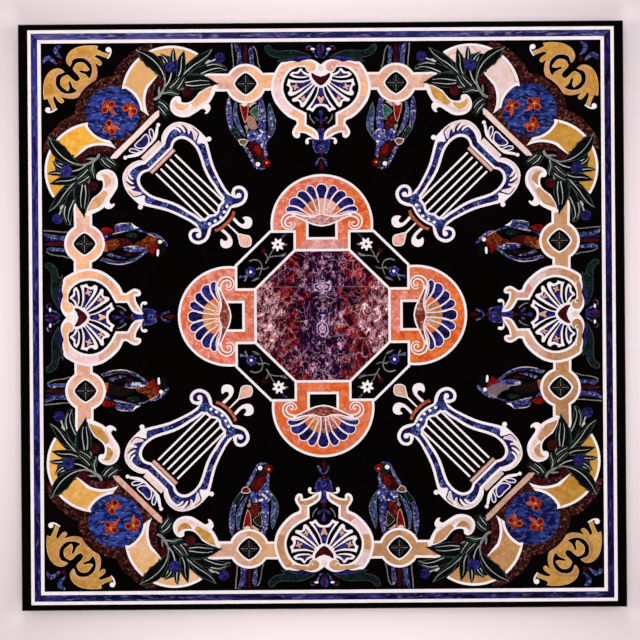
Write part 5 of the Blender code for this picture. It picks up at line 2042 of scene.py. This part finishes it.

# %% [markdown]
# ## Floor, light and camera
# Polished black stone shows whatever hangs over it, so to stay black from above it needs a dark sky and light
# from the sides. The floor is pale paper with painted shade on it: a little greyer a few centimetres away
# from the tile and greyer again far from it.

# %% Floor
FLOOR = 6.0  # m from the middle to the floor's edge
PAINTED_SHADE_FROM, PAINTED_SHADE_TO = 0.55, 0.80  # m from the middle: painted shade greys the paper between these
DEEPER = 0.017  # m that the tile is wider than deep, on each side
EDGE, RISE, MOST_SHADE = 0.550, 4.2, 0.14  # m to the tile's edge; the painted shade beside it


def floor():
    """A flat square sheet of paper, with painted shade by the distance from the tile."""
    mesh = bpy.data.meshes.new("floor")
    corners = [(FLOOR * x, FLOOR * y, 0) for x, y in ((-1, -1), (1, -1), (1, 1), (-1, 1))]
    mesh.from_pydata(corners, [], [(0, 1, 2, 3)])
    sheet = bpy.data.objects.new("floor", mesh)
    bpy.context.scene.collection.objects.link(sheet)
    material, tree, shader = blank("floor_paper")
    shader.inputs["Roughness"].default_value = 0.9
    place = tree.nodes.new("ShaderNodeTexCoord").outputs["Object"]
    # painted shade far out: the paper greys with the distance from the middle
    painted_far_shade = tree.nodes.new("ShaderNodeMapRange")
    for name, value in (("From Min", PAINTED_SHADE_FROM), ("From Max", PAINTED_SHADE_TO),
            ("Value", vector_node(tree, "LENGTH", place)["Value"])):
        wire(tree, value, painted_far_shade.inputs[name])
    across, along = (abs(axis) for axis in parted(tree, place)[:2])
    # painted light at the tile's edge, where its shadow falls; the paper greys a few centimetres out
    beside_tile = larger(across, along + DEEPER)
    shade = maths(tree, "MINIMUM", clamped(beside_tile - EDGE) * RISE, MOST_SHADE)
    paper = mixed(tree, painted_far_shade.outputs["Result"], tint(252, 235, 238), tint(220, 205, 208))
    wire(tree, mixed(tree, shade, paper, tint(128, 120, 121)), shader.inputs["Base Color"])
    mesh.materials.append(material)
    return sheet


floor()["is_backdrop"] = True
print("floor:", 2 * FLOOR, "m wide")

# %% [markdown]
# ## Light
# Four large soft lamps stand round the tile, one far out on each side, so that their reflections fall away from
# the camera. The sky between them is dark overhead and pale at the horizon, as in a studio with a black
# ceiling.

# %% Light
LAMPS = {"left": (-3.2, 0.4), "right": (3.2, 0.2), "front": (0.3, -3.2), "back": (-0.2, 3.2)}  # m
HEIGHT, SIZE, POWER = 2.9, 2.4, 84  # m, m, W


def lamp(name, place, size, power):
    """A square soft light that faces the middle of the tile."""
    data = bpy.data.lights.new(name, "AREA")
    data.shape, data.size, data.energy = "SQUARE", size, power
    light = bpy.data.objects.new(name, data)
    light.location = place
    x, y, z = place
    light.rotation_euler = (np.arctan2(sqrt(x * x + y * y), z), 0, np.arctan2(x, -y))
    bpy.context.scene.collection.objects.link(light)


for name, (x, y) in LAMPS.items():
    lamp("light_" + name, (x, y, HEIGHT), SIZE, POWER)


def sky():
    """The world's light grows from near black overhead to pale at the horizon."""
    world = bpy.data.worlds.new("studio")
    bpy.context.scene.world = world
    world.use_nodes = True
    tree = world.node_tree
    background = tree.nodes["Background"]
    way = tree.nodes.new("ShaderNodeTexCoord")
    apart = tree.nodes.new("ShaderNodeSeparateXYZ")
    share = tree.nodes.new("ShaderNodeMapRange")
    for name, value in (("From Min", 0.1), ("From Max", 0.75), ("To Min", 0.55), ("To Max", 0.01)):
        share.inputs[name].default_value = value
    tree.links.new(way.outputs["Generated"], apart.inputs[0])
    tree.links.new(apart.outputs["Z"], share.inputs["Value"])
    tree.links.new(share.outputs["Result"], background.inputs["Strength"])
    background.inputs["Color"].default_value = (1.0, 0.97, 0.97, 1)


sky()
print("lamps:", len(LAMPS))

# %% [markdown]
# ## Camera
# The camera looks straight down through a long lens, a hair off the middle and turned by less than half a degree,
# as in the photograph. Its height follows from the lens and from how much of the floor the picture shows.

# %% Camera
SEEN = 1.1524  # metres across the picture
LENS, SENSOR = 150.0, 36.0  # mm
ASIDE, TURN = (-0.0046, -0.0078), -0.42  # m off the middle, degrees
camera_data = bpy.data.cameras.new("camera")
camera_data.lens, camera_data.sensor_width = LENS, SENSOR
camera = bpy.data.objects.new("camera", camera_data)
bpy.context.scene.collection.objects.link(camera)
camera.location = (*ASIDE, TOP + SEEN * LENS / SENSOR)
camera.rotation_euler = (0, 0, radians(TURN))
bpy.context.scene.camera = camera
bpy.context.scene.view_settings.view_transform = "Standard"
print("camera height:", round(camera.location[2], 3))

# %% Size and end
low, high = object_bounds()
